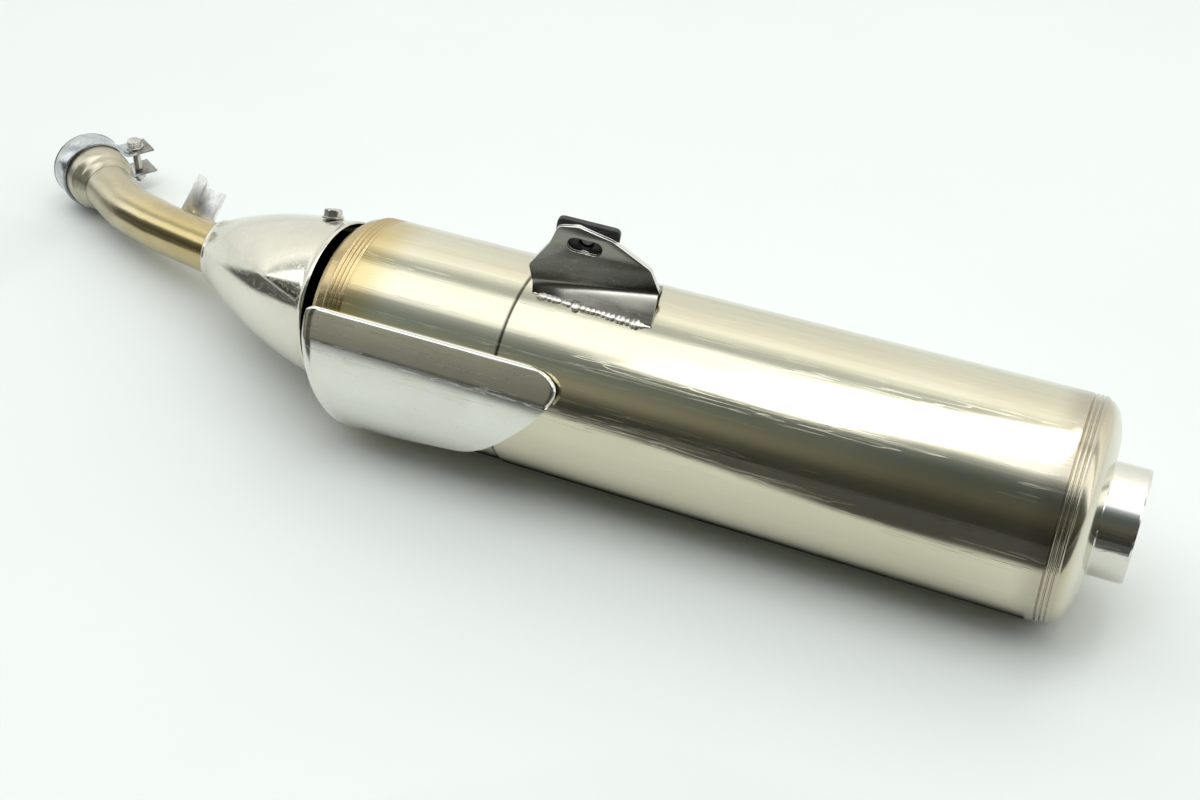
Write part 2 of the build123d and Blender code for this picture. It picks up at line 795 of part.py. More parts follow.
with BuildPart() as liner:
    with BuildSketch(can_profile):
        ring_profile(
            [(liner_start_x, liner_radius - tube_wall), (liner_start_x, rear_inner)]
            + [(liner_start_x + tube_wall, rear_inner), (liner_start_x + tube_wall, liner_radius)]
            + [(middle_baffle_x, liner_radius), (middle_baffle_x, liner_radius - tube_wall)]
        )
    revolve(axis=can_axis)
    for i in range(liner_hole_planes):
        angle = i * 180 / liner_hole_planes
        with BuildSketch(radial_plane((liner_start_x + middle_baffle_x) / 2, angle)):
            with GridLocations(liner_hole_pitch, 1, liner_hole_rows, 1):
                Circle(hole_radius)
        extrude(amount=2 * liner_radius, both=True, mode=Mode.SUBTRACT)
finish(liner.part, "liner")

with BuildPart() as glass_wool:
    with BuildSketch(can_plane(liner_start_x + tube_wall)):
        Circle(rear_inner)
        Circle(liner_radius, mode=Mode.SUBTRACT)
    extrude(amount=middle_baffle_x - liner_start_x - tube_wall)
finish(glass_wool.part, "glass_wool")

with BuildPart() as transfer_tubes:
    with BuildSketch(can_plane(front_baffle_x - transfer_reach)):
        with Locations(transfer_places):
            Circle(transfer_radius)
            Circle(transfer_radius - tube_wall, mode=Mode.SUBTRACT)
    extrude(amount=middle_baffle_x - front_baffle_x + 2 * transfer_reach)
finish(transfer_tubes.part, "transfer_tubes")
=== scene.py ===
from math import atan2, cos, hypot, pi, radians, sin, sqrt, tan, tau

import bmesh
import bpy
import numpy as np
from mathutils import Matrix, Vector


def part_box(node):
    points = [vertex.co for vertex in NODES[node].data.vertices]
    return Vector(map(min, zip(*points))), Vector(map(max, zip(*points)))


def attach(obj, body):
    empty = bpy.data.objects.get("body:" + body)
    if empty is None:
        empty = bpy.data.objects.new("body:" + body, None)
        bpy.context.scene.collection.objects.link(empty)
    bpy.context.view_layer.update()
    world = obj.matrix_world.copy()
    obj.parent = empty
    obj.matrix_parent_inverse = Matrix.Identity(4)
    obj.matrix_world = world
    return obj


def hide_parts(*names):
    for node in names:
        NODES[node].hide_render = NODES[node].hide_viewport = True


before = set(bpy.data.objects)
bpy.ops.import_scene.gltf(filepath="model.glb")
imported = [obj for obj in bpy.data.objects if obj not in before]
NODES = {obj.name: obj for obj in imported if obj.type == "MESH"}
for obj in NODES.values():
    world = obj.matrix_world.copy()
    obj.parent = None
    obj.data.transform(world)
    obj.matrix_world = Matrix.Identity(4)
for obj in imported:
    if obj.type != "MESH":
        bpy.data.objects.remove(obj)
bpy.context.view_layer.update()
SCENE = bpy.context.scene

# ---- places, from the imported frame
MM = 0.001
REAR_LOW, REAR_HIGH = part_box("rear_shell")
RADIUS = (REAR_HIGH.y - REAR_LOW.y) / 2 / MM
AXIS_Y = (REAR_HIGH.y + REAR_LOW.y) / 2
AXIS_Z = (REAR_HIGH.z + REAR_LOW.z) / 2
AXIS_H = AXIS_Z / MM
FRONT_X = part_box("front_shell")[0].x


def at(x, y=0.0, z=0.0):
    """Millimetres from the can's front edge, its axis plane and the floor, to metres in the row frame."""
    return Vector((FRONT_X + x * MM, AXIS_Y + y * MM, z * MM))


def from_front(x):
    """Metres along x in the row frame, to millimetres from the can's front edge."""
    return (x - FRONT_X) / MM


class Place:
    """An origin and three directions; millimetres in, metres in the row frame out."""

    def __init__(self, origin, x, y, z):
        self.origin = Vector(origin)
        self.x, self.y, self.z = (Vector(v).normalized() for v in (x, y, z))

    def __call__(self, a, b=0.0, c=0.0):
        return self.origin + (self.x * a + self.y * b + self.z * c) * MM

    def matrix(self):
        m = Matrix((self.x, self.y, self.z)).transposed().to_4x4()
        m.translation = self.origin
        return m


CAN = Place(at(0, 0, AXIS_H), (1, 0, 0), (0, 1, 0), (0, 0, 1))

# ---- materials


class Nodes:
    """Short ways to make and join the nodes of one shader tree."""

    def __init__(self, tree):
        self.tree = tree

    def node(self, kind, **props):
        made = self.tree.nodes.new(kind)
        for key, value in props.items():
            setattr(made, key, value)
        return made

    def plug(self, socket, value):
        """Link another node's output to the socket, or set a number or a colour on it."""
        if isinstance(value, bpy.types.NodeSocket):
            self.tree.links.new(value, socket)
        elif isinstance(value, (tuple, list)) and len(value) == 3 and socket.type == "RGBA":
            socket.default_value = (*value, 1.0)
        else:
            socket.default_value = value

    def math(self, operation, a, b=0.0):
        made = self.node("ShaderNodeMath", operation=operation)
        self.plug(made.inputs[0], a)
        self.plug(made.inputs[1], b)
        return made.outputs[0]

    def times(self, a, b):
        return self.math("MULTIPLY", a, b)

    def plus(self, a, b):
        return self.math("ADD", a, b)

    def ramp(self, factor, *stops):
        """Grey or coloured stops: (place, value) pairs."""
        made = self.node("ShaderNodeValToRGB")
        self.plug(made.inputs[0], factor)
        row = made.color_ramp.elements
        while len(row) < len(stops):
            row.new(0.5)
        for element, (place, value) in zip(row, stops):
            element.position = place
            element.color = (value,) * 3 + (1.0,) if isinstance(value, float) else (*value, 1.0)
        return made.outputs[0]

    def parts(self, vector):
        """The x, y and z of a vector."""
        made = self.node("ShaderNodeSeparateXYZ")
        self.plug(made.inputs[0], vector)
        return made.outputs


class Finish(Nodes):
    """A metal or other surface built from procedural nodes on the Principled shader."""

    def __init__(self, name, metallic=1.0, **constants):
        self.material = bpy.data.materials.new(name)
        self.material.use_nodes = True
        super().__init__(self.material.node_tree)
        self.shader = self.tree.nodes["Principled BSDF"]
        self.shader.inputs["Metallic"].default_value = metallic
        for key, value in constants.items():
            self.shader.inputs[key.replace("_", " ")].default_value = value
        self.coord = self.node("ShaderNodeTexCoord").outputs["Object"]
        self.height = None

    def mapped(self, stretch, turn=(0, 0, 0)):
        """Object coordinates times stretch, which is one number or three."""
        made = self.node("ShaderNodeMapping")
        self.plug(made.inputs["Vector"], self.coord)
        made.inputs["Scale"].default_value = stretch if isinstance(stretch, tuple) else (stretch,) * 3
        made.inputs["Rotation"].default_value = turn
        return made.outputs[0]

    def noise(self, stretch, detail=3.0, rough=0.5, bend=0.0, turn=(0, 0, 0)):
        made = self.node("ShaderNodeTexNoise")
        self.plug(made.inputs["Vector"], self.mapped(stretch, turn))
        made.inputs["Scale"].default_value = 1.0
        made.inputs["Detail"].default_value = detail
        made.inputs["Roughness"].default_value = rough
        made.inputs["Distortion"].default_value = bend
        return made.outputs[0]

    def spots(self, stretch, size):
        """Small round spots: 1 in the middle of one, falling to 0 at its size."""
        made = self.node("ShaderNodeTexVoronoi")
        self.plug(made.inputs["Vector"], self.mapped(stretch))
        made.inputs["Scale"].default_value = 1.0
        return self.ramp(made.outputs["Distance"], (0.0, 1.0), (size, 0.0))

    def mix(self, factor, a, b):
        made = self.node("ShaderNodeMix", data_type="RGBA", blend_type="MIX")
        self.plug(made.inputs[0], factor)
        self.plug(made.inputs[6], a)
        self.plug(made.inputs[7], b)
        return made.outputs[2]

    def blotch(self, base, cloud, low, high, colour, most=1.0):
        """The base, turning to the colour (to at most a share) as the cloud rises from low to high."""
        return self.mix(self.ramp(cloud, (low, 0.0), (high, most)), base, colour)

    def rub(self, base, where, share, colour):
        """The base with a share of the colour on it where the mask is 1."""
        return self.mix(self.times(where, share), base, colour)

    def span(self, value, low, high):
        """0 at low to 1 at high, smoothly."""
        made = self.node("ShaderNodeMapRange", interpolation_type="SMOOTHSTEP")
        self.plug(made.inputs[0], value)
        made.inputs[1].default_value = low
        made.inputs[2].default_value = high
        return made.outputs[0]

    def axis(self, which):
        return self.parts(self.coord)[which]

    def bump(self, height, strength, distance):
        """One more layer of bumps on top of the earlier ones."""
        made = self.node("ShaderNodeBump")
        made.inputs["Strength"].default_value = strength
        made.inputs["Distance"].default_value = distance
        self.plug(made.inputs["Height"], height)
        if self.height is not None:
            self.plug(made.inputs["Normal"], self.height)
        self.height = made.outputs[0]
        self.plug(self.shader.inputs["Normal"], self.height)

    def scratches(self, along, across, turn, low, high):
        """Thin, sparse lines: 1 on a scratch and 0 elsewhere."""
        lines = self.noise((along, across, across), 2.0, 0.6, 0.4, turn)
        return self.ramp(lines, (low, 0.0), ((low + high) / 2, 1.0), (high, 0.0))

    def done(self, colour, rough):
        self.plug(self.shader.inputs["Base Color"], colour)
        self.plug(self.shader.inputs["Roughness"], rough)
        return self.material


def satin_can():
    """Polished stainless sheet: warm, gold near the front seam, faintly streaked and scratched, painted
    darker over the rear beads as shade, with a painted shadow line at the overlap seam.
    """
    f = Finish("can_stainless")
    x = f.axis(0)
    cloud = f.noise((5, 9, 9), 3.0, 0.55, 0.6)
    base = f.blotch((0.70, 0.665, 0.525), cloud, 0.35, 0.7, (0.64, 0.60, 0.46))
    streak = f.noise((2.5, 90, 90), 4.0, 0.6, 0.2)
    base = f.blotch(base, streak, 0.45, 0.75, (0.56, 0.50, 0.36), 0.35)
    wander = f.times(f.noise((10, 22, 22), 2.0, 0.5), 0.016)
    front = f.plus(x, wander)
    tint = f.span(front, FRONT_X + 0.050, FRONT_X + 0.022)
    base = f.mix(tint, base, (0.60, 0.49, 0.255))
    edge = f.span(front, FRONT_X + 0.024, FRONT_X + 0.013)
    base = f.mix(edge, base, (0.50, 0.385, 0.20))
    # Painted shade: duller and darker over the rear beads, standing in for the shade in their grooves.
    rear = f.span(front, REAR_HIGH.x - 0.018, REAR_HIGH.x - 0.002)
    base = f.mix(rear, base, (0.50, 0.455, 0.36))
    # Painted shadow: a near-black line on the front shell just ahead of the rear shell's overlapping edge,
    # where that edge's shadow falls.
    seam = f.span(x, REAR_LOW.x - 0.0025, REAR_LOW.x - 0.0002)
    seam_shadow_end = f.span(x, REAR_LOW.x + 0.0016, REAR_LOW.x + 0.0002)
    base = f.mix(f.times(seam, seam_shadow_end), base, (0.05, 0.04, 0.03))
    marks = f.scratches(7, 260, (0, 0, 0.5), 0.60, 0.625)
    more_marks = f.scratches(10, 300, (0.3, 0.8, -0.4), 0.63, 0.65)
    nicks = f.spots(70, 0.045)
    wear = f.math("MAXIMUM", f.math("MAXIMUM", marks, more_marks), f.times(nicks, 0.6))
    base = f.rub(base, wear, 0.22, (0.86, 0.84, 0.78))
    smear = f.noise((14, 30, 30), 4.0, 0.65, 0.8)
    rough = f.plus(0.105, f.times(f.ramp(smear, (0.35, 0.0), (0.8, 1.0)), 0.085))
    rough = f.plus(rough, f.times(wear, 0.12))
    rough = f.plus(rough, f.times(edge, 0.10))
    f.bump(f.noise((5, 14, 14), 2.0, 0.45, 0.3), 0.11, 0.004)
    f.bump(f.noise((3, 420, 420), 2.0, 0.5), 0.035, 0.0006)
    f.bump(wear, 0.10, 0.0003)
    return f.done(base, rough)


def bright_cap():
    """The spun end cap: smooth, creamy bright steel with faint spinning rings."""
    f = Finish("cap_stainless")
    cloud = f.noise((20, 18, 18), 3.0, 0.5, 0.5)
    base = f.blotch((0.74, 0.71, 0.60), cloud, 0.3, 0.75, (0.66, 0.62, 0.49))
    x = f.axis(0)
    near = f.span(x, REAR_HIGH.x + 0.007, REAR_HIGH.x)
    base = f.mix(near, base, (0.55, 0.49, 0.36))
    rings = f.noise((900, 6, 6), 2.0, 0.5)
    rough = f.plus(0.13, f.times(rings, 0.10))
    f.bump(rings, 0.05, 0.0004)
    f.bump(f.noise(16, 2.0, 0.5), 0.14, 0.003)
    marks = f.scratches(60, 240, (0.2, 0.4, 0.9), 0.61, 0.635)
    base = f.rub(base, marks, 0.25, (0.86, 0.84, 0.78))
    return f.done(base, rough)


def polished(name, light, dark, rough, wave, marks_share):
    """Mirror-like sheet with smears, fine marks and a slight waviness."""
    f = Finish(name)
    cloud = f.noise(18, 4.0, 0.55, 0.7)
    base = f.blotch(light, cloud, 0.3, 0.75, dark)
    marks = f.scratches(14, 330, (0.1, 0.3, 0.7), 0.60, 0.62)
    more_marks = f.scratches(18, 280, (0.9, -0.5, 0.2), 0.62, 0.64)
    nicks = f.spots(95, 0.05)
    wear = f.math("MAXIMUM", f.math("MAXIMUM", marks, more_marks), f.times(nicks, 0.7))
    pale = tuple(min(0.95, c * 1.2 + 0.04) for c in light)
    base = f.mix(f.times(wear, marks_share), base, pale)
    smear = f.noise((30, 26, 34), 5.0, 0.65, 1.2)
    extra = f.times(f.ramp(smear, (0.4, 0.0), (0.8, 1.0)), 0.09)
    roughness = f.plus(f.plus(rough, extra), f.times(wear, 0.12))
    f.bump(f.noise(11, 2.0, 0.4, 0.3), wave, 0.004)
    f.bump(wear, 0.12, 0.0003)
    return f.done(base, roughness)


def tinted_pipe():
    """Satin stainless tube, heat-tinted straw and olive, greyer towards the socket."""
    f = Finish("pipe_heat_tint")
    x = f.axis(0)
    wander = f.times(f.noise((16, 30, 30), 3.0, 0.6, 0.5), 0.05)
    place = f.plus(x, wander)
    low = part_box("inlet_pipe")[0]
    share = f.span(place, low.x + 0.01, low.x + 0.15)
    base = f.ramp(
        share,
        (0.0, (0.50, 0.465, 0.37)),
        (0.35, (0.52, 0.46, 0.32)),
        (0.75, (0.56, 0.465, 0.26)),
        (1.0, (0.52, 0.415, 0.20)),
    )
    cloud = f.noise((26, 40, 40), 4.0, 0.6, 0.8)
    base = f.blotch(base, cloud, 0.45, 0.8, (0.36, 0.27, 0.12), 0.4)
    grain = f.noise((40, 900, 900), 2.0, 0.6)
    dull = f.times(f.span(place, low.x + 0.085, low.x + 0.045), 0.16)
    rough = f.plus(f.plus(0.12, dull), f.times(grain, 0.10))
    marks = f.scratches(20, 300, (0.1, 0.3, 0.5), 0.62, 0.645)
    base = f.rub(base, marks, 0.3, (0.78, 0.72, 0.58))
    f.bump(grain, 0.05, 0.0004)
    f.bump(f.noise(24, 2.0, 0.5), 0.12, 0.003)
    return f.done(base, rough)


def zinc(name, light, dark, rough):
    """Plated or plain hardware steel with dull patches and small pits."""
    f = Finish(name)
    cloud = f.noise(140, 4.0, 0.6, 0.6)
    base = f.blotch(light, cloud, 0.35, 0.7, dark)
    grime = f.noise(55, 5.0, 0.7, 0.4)
    base = f.blotch(base, grime, 0.55, 0.8, tuple(c * 0.35 for c in dark), 0.75)
    pits = f.spots(420, 0.16)
    base = f.rub(base, pits, 0.4, tuple(c * 0.5 for c in dark))
    roughness = f.plus(rough, f.times(cloud, 0.16))
    f.bump(cloud, 0.16, 0.0006)
    f.bump(pits, 0.12, 0.0003)
    return f.done(base, roughness)


def band_plate():
    """Blue-grey plated band; its ears are darker and stained brown."""
    f = Finish("band_plate")
    cloud = f.noise(110, 4.0, 0.6, 0.6)
    base = f.blotch((0.575, 0.605, 0.615), cloud, 0.35, 0.7, (0.36, 0.385, 0.40))
    grime = f.noise(60, 5.0, 0.7, 0.4)
    base = f.blotch(base, grime, 0.55, 0.8, (0.12, 0.12, 0.125), 0.6)
    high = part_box("clamp_band")[1]
    ear_x, ear_y = 0.49, 0.87  # the way the ears point
    out = f.plus(f.times(f.axis(0), ear_x), f.times(f.axis(1), ear_y))
    tip = high.x * ear_x + high.y * ear_y
    ear = f.span(f.plus(out, f.times(grime, 0.004)), tip - 0.0225, tip - 0.0185)
    stain = f.ramp(grime, (0.42, (0.30, 0.28, 0.26)), (0.62, (0.10, 0.085, 0.07)))
    base = f.rub(base, ear, 0.9, stain)
    rough = f.plus(f.plus(0.11, f.times(cloud, 0.12)), f.times(ear, 0.12))
    f.bump(cloud, 0.14, 0.0006)
    return f.done(base, rough)


def grey_satin():
    """Hanger sheet: dull, dark grey low down and paler towards the top as a painted reflection, with a
    painted highlight along the fold, painted highlights on the upper edges and a few scuffs.
    """
    f = Finish("hanger_satin")
    cloud = f.noise(45, 5.0, 0.65, 0.6)
    z = f.plus(f.axis(2), f.times(f.noise((18, 18, 30), 3.0), 0.008))
    foot = AXIS_Z + RADIUS * MM  # the top of the can
    # Painted reflection: the sheet is dark low down and paler towards the top, standing in for what it
    # reflects.
    painted_reflection_top = f.span(z, foot + 0.016, foot + 0.034)
    base = f.mix(painted_reflection_top, (0.105, 0.10, 0.085), (0.27, 0.265, 0.23))
    # Painted highlight: a pale band along the hanger's fold, a few millimetres above the can.
    fold = f.times(f.span(z, foot + 0.0045, foot + 0.0075), f.span(z, foot + 0.013, foot + 0.0085))
    base = f.rub(base, fold, 0.65, (0.46, 0.45, 0.41))
    base = f.blotch(base, cloud, 0.4, 0.8, (0.30, 0.29, 0.26), 0.45)
    grain = f.noise(1500, 2.0, 0.5)
    base = f.blotch(base, grain, 0.45, 0.8, (0.40, 0.39, 0.35), 0.25)
    marks = f.scratches(40, 420, (0.3, 0.9, 0.2), 0.60, 0.62)
    base = f.rub(base, marks, 0.4, (0.62, 0.60, 0.56))
    # Painted highlights: faces turned away from the sheet's flat front, above the fold, are painted near
    # white.
    normal = f.parts(f.node("ShaderNodeNewGeometry").outputs["Normal"])
    edge_highlight_facing = f.span(f.math("ABSOLUTE", normal[1]), 0.80, 0.45)
    edge = f.times(edge_highlight_facing, f.span(f.axis(2), foot + 0.006, foot + 0.009))
    base = f.mix(edge, base, (0.80, 0.79, 0.74))
    rough = f.plus(0.17, f.times(cloud, 0.16))
    f.bump(grain, 0.05, 0.0003)
    f.bump(f.noise(30, 2.0, 0.5), 0.10, 0.002)
    return f.done(base, rough)


def weld_bead():
    """Raw weld metal: bright, with duller straw patches."""
    f = Finish("weld_metal")
    cloud = f.noise(130, 4.0, 0.6, 0.5)
    base = f.ramp(cloud, (0.30, (0.42, 0.38, 0.31)), (0.45, (0.80, 0.78, 0.72)), (0.68, (0.93, 0.92, 0.89)))
    rough = f.plus(0.22, f.times(cloud, 0.3))
    f.bump(f.noise(700, 3.0, 0.6), 0.5, 0.0006)
    return f.done(base, rough)


def black_coat():
    """Black coated steel, rubbed grey in places."""
    f = Finish("black_coating", metallic=0.0, Coat_Weight=0.15)
    cloud = f.noise(90, 5.0, 0.7, 0.6)
    base = f.blotch((0.012, 0.012, 0.013), cloud, 0.5, 0.78, (0.085, 0.082, 0.078), 0.7)
    rough = f.plus(0.32, f.times(cloud, 0.3))
    f.bump(f.noise(900, 2.0, 0.5), 0.12, 0.0003)
    return f.done(base, rough)


def plain_sheet(name, light, dark):
    """Unpolished inner sheet and tube, sooty in patches."""
    f = Finish(name)
    cloud = f.noise(40, 5.0, 0.65, 0.8)
    base = f.blotch(light, cloud, 0.35, 0.7, dark)
    grain = f.noise((30, 700, 700), 2.0, 0.5)
    rough = f.plus(0.30, f.times(grain, 0.2))
    f.bump(grain, 0.08, 0.0004)
    return f.done(base, rough)


def soft_fill(name, light, dark, size, bumpiness):
    """Fibrous or pressed filling: no metal, rough and mottled."""
    f = Finish(name, metallic=0.0)
    fibre = f.noise((size, size * 4, size * 4), 6.0, 0.75, 1.5)
    base = f.blotch(light, fibre, 0.35, 0.7, dark)
    f.bump(fibre, bumpiness, 0.002)
    return f.done(base, f.plus(0.75, f.times(fibre, 0.2)))


MAT = {
    "can": satin_can(),
    "cap": bright_cap(),
    "cover": polished("cover_mirror", (0.745, 0.72, 0.63), (0.67, 0.64, 0.54), 0.06, 0.08, 0.25),
    "shield": polished("shield_aluminium", (0.79, 0.785, 0.73), (0.71, 0.70, 0.635), 0.17, 0.08, 0.30),
    "spout": polished("spout_polished", (0.76, 0.745, 0.68), (0.69, 0.67, 0.59), 0.07, 0.06, 0.3),
    "pipe": tinted_pipe(),
    "band": band_plate(),
    "bolt": zinc("hardware_steel", (0.66, 0.64, 0.60), (0.44, 0.42, 0.38), 0.20),
    "nut": zinc("nut_dark", (0.12, 0.12, 0.12), (0.06, 0.058, 0.055), 0.34),
    "channel": zinc("channel_steel", (0.90, 0.90, 0.885), (0.64, 0.63, 0.61), 0.30),
    "hanger": grey_satin(),
    "weld": weld_bead(),
    "black": black_coat(),
    "inner": plain_sheet("inner_sheet", (0.46, 0.43, 0.38), (0.30, 0.26, 0.21)),
    "soot": plain_sheet("sooty_tube", (0.20, 0.18, 0.15), (0.07, 0.06, 0.05)),
    "wool": soft_fill("glass_wool", (0.82, 0.76, 0.58), (0.62, 0.55, 0.38), 60.0, 0.8),
    "gasket": soft_fill("graphite_ring", (0.10, 0.10, 0.105), (0.035, 0.035, 0.038), 160.0, 0.5),
}

# ---- mesh tools


def worn(width, segments):
    """A modifier that bevels the sharp edges."""
    limit = {"limit_method": "ANGLE", "angle_limit": radians(50)}
    return ("BEVEL", {"width": width * MM, "segments": segments, **limit})


def thick_sheet(thickness):
    """A modifier that gives a surface its thickness, inwards."""
    return ("SOLIDIFY", {"thickness": thickness * MM, "offset": -1.0})


def build(node, mesh_data, finish, body="muffler", sharp=32.0, modifiers=(), name=None):
    """A piece in a CAD node's stead, on its body: welded, and smooth but for edges over sharp degrees."""
    name = name or f"{node}_skin"
    verts, faces = mesh_data
    mesh = bpy.data.meshes.new(name)
    mesh.from_pydata([tuple(v) for v in verts], [], faces)
    work = bmesh.new()
    work.from_mesh(mesh)
    bmesh.ops.remove_doubles(work, verts=work.verts, dist=2e-6)
    bmesh.ops.recalc_face_normals(work, faces=work.faces)
    work.to_mesh(mesh)
    work.free()
    obj = bpy.data.objects.new(name, mesh)
    SCENE.collection.objects.link(obj)
    for kind, settings in modifiers:
        made = obj.modifiers.new(kind.lower(), kind)
        for key, value in settings.items():
            setattr(made, key, value)
    if modifiers:
        graph = bpy.context.evaluated_depsgraph_get()
        mesh = bpy.data.meshes.new_from_object(obj.evaluated_get(graph))
        obj.modifiers.clear()
        obj.data = mesh
    work = bmesh.new()
    work.from_mesh(mesh)
    for face in work.faces:
        face.smooth = True
    for edge in work.edges:
        edge.smooth = not (len(edge.link_faces) == 2 and edge.calc_face_angle(0.0) > radians(sharp))
    work.to_mesh(mesh)
    work.free()
    mesh.materials.clear()
    mesh.materials.append(MAT[finish])
    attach(obj, body)
    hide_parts(node)


def join_parts(parts):
    """Several (verts, faces) as one."""
    verts, faces = [], []
    for v, f in parts:
        start = len(verts)
        verts += list(v)
        faces += [tuple(start + i for i in face) for face in f]
    return verts, faces


def grid_faces(rows, columns, wrap_rows=False, wrap_columns=False, start=0):
    """Quads between rows of points, closed into a ring either way if asked."""
    faces = []
    for i in range(rows if wrap_rows else rows - 1):
        for j in range(columns if wrap_columns else columns - 1):
            a, b = i * columns + j, i * columns + (j + 1) % columns
            c = ((i + 1) % rows) * columns + (j + 1) % columns
            d = ((i + 1) % rows) * columns + j
            faces.append((start + a, start + b, start + c, start + d))
    return faces


def end_faces(rows, ring):
    """The first and the last row of a ringed grid, as two faces."""
    last = (rows - 1) * ring
    return [tuple(range(ring)), tuple(last + i for i in reversed(range(ring)))]


def pulled(a, b, c, t):
    """The point at t on the curve that leaves a towards b and arrives at c."""
    return tuple((1 - t) ** 2 * p + 2 * t * (1 - t) * q + t * t * r for p, q, r in zip(a, b, c))


def rounded(points, steps=4):
    """A 2-D outline whose (x, y, radius) corners are rounded; a corner without a radius stays sharp."""
    out = []
    count = len(points)
    for i, point in enumerate(points):
        x, y = point[0], point[1]
        r = point[2] if len(point) > 2 else 0.0
        if r <= 0:
            out.append((x, y))
            continue
        px, py = points[i - 1][0] - x, points[i - 1][1] - y
        nx, ny = points[(i + 1) % count][0] - x, points[(i + 1) % count][1] - y
        lp, ln = hypot(px, py), hypot(nx, ny)
        turn = abs(atan2(px * ny - py * nx, px * nx + py * ny))
        cut = min(r / max(tan(turn / 2), 1e-6), 0.49 * lp, 0.49 * ln)
        a = (x + px / lp * cut, y + py / lp * cut)
        b = (x + nx / ln * cut, y + ny / ln * cut)
        out += [pulled(a, (x, y), b, k / steps) for k in range(steps + 1)]
    return out


def lathe(profile, place, segments=192, arc=None):
    """A closed (along, radius) profile turned about place.x, whole or over an arc in degrees."""
    low, high = arc or (0.0, 360.0)
    count = segments if arc is None else max(4, int(segments * (high - low) / 360.0) + 1)
    verts = []
    for i in range(count):
        share = i / segments * 360.0 if arc is None else low + (high - low) * i / (count - 1)
        c, s = cos(radians(share)), sin(radians(share))
        verts += [place(x, r * c, r * s) for x, r in profile]
    faces = grid_faces(count, len(profile), arc is None, True)
    if arc is not None:
        faces += end_faces(count, len(profile))
    return verts, faces


def tube(points, outside, wall, segments=72):
    """A tube along points given in metres, its radius and wall in millimetres."""
    count = len(points)
    tangents = [(points[min(i + 1, count - 1)] - points[max(i - 1, 0)]).normalized() for i in range(count)]
    side = tangents[0].orthogonal().normalized()
    rings = []
    for t in tangents:
        side = (side - t * side.dot(t)).normalized()
        rings.append((side.copy(), t.cross(side)))
    verts = []
    for radius in (outside * MM, (outside - wall) * MM):
        for p, (a, b) in zip(points, rings):
            for k in range(segments):
                angle = tau * k / segments
                verts.append(p + (a * cos(angle) + b * sin(angle)) * radius)
    total = count * segments
    faces = grid_faces(count, segments, False, True) + grid_faces(count, segments, False, True, total)
    for end in (0, count - 1):
        for k in range(segments):
            a, b = end * segments + k, end * segments + (k + 1) % segments
            faces.append((a, b, b + total, a + total))
    return verts, faces


def plate(outline, thick, place, bevel=0.3, holes=()):
    """A flat sheet: an outline with holes in place's x-y plane, thick along place.z, with worn edges."""
    curve = bpy.data.curves.new("outline", "CURVE")
    curve.dimensions = "2D"
    curve.fill_mode = "BOTH"
    curve.extrude = (thick / 2 - bevel) * MM
    curve.bevel_depth = bevel * MM
    curve.bevel_resolution = 2
    curve.offset = -bevel * MM
    for loop in (outline, *holes):
        spline = curve.splines.new("POLY")
        spline.points.add(len(loop) - 1)
        for point, (x, y) in zip(spline.points, loop):
            point.co = (x * MM, y * MM, 0.0, 1.0)
        spline.use_cyclic_u = True
    holder = bpy.data.objects.new("outline", curve)
    SCENE.collection.objects.link(holder)
    graph = bpy.context.evaluated_depsgraph_get()
    mesh = bpy.data.meshes.new_from_object(holder.evaluated_get(graph))
    matrix = place.matrix()
    shift = place.z * (thick / 2 * MM)
    verts = [matrix @ v.co + shift for v in mesh.vertices]
    faces = [tuple(p.vertices) for p in mesh.polygons]
    bpy.data.objects.remove(holder)
    bpy.data.curves.remove(curve)
    bpy.data.meshes.remove(mesh)
    return verts, faces


def ribbon(path, thick, width, place, bevel=0.35):
    """A strip with worn edges; its 2-D path lies in place's y-z plane and its width along place.x."""
    half = thick / 2
    section = rounded([(0, -half, bevel), (width, -half, bevel), (width, half, bevel), (0, half, bevel)], 3)
    verts = []
    for i, (a, b) in enumerate(path):
        pa, pb = path[max(i - 1, 0)], path[min(i + 1, len(path) - 1)]
        ta, tb = pb[0] - pa[0], pb[1] - pa[1]
        length = hypot(ta, tb)
        na, nb = -tb / length, ta / length
        verts += [place(x, a + na * o, b + nb * o) for x, o in section]
    return verts, grid_faces(len(path), len(section), False, True) + end_faces(len(path), len(section))


def hexagon(flats, height, place, chamfer=0.9, bore=0.0, base=0.0, steps=60):
    """A hexagon head or nut standing on place's x-y plane along place.z, its corners cut by a cone."""
    apothem, corner = flats / 2, flats / 2 * 1.155

    def hex_radius(angle):
        turned = (angle + pi / 6) % (pi / 3) - pi / 6
        return min(apothem / cos(turned), apothem * 1.135)

    levels = [(0.0, 0.45), (0.25, 0.0), (height - chamfer, 0.0)]
    levels += [(height - chamfer * 0.4, 0.5), (height, 1.15)]
    inner = bore or 0.05
    angles = [tau * k / steps for k in range(steps)]
    verts = [place(inner * cos(a), inner * sin(a), base) for a in angles]
    for z, cut in levels:
        limit = corner - cut if z > height / 2 else corner - cut * 0.6
        for a in angles:
            r = min(hex_radius(a), limit)
            verts.append(place(r * cos(a), r * sin(a), base + z))
    verts += [place(inner * cos(a), inner * sin(a), base + height) for a in angles]
    rows = len(levels) + 2
    faces = grid_faces(rows, steps, bool(bore), True)
    if not bore:
        faces += end_faces(rows, steps)
    return verts, faces


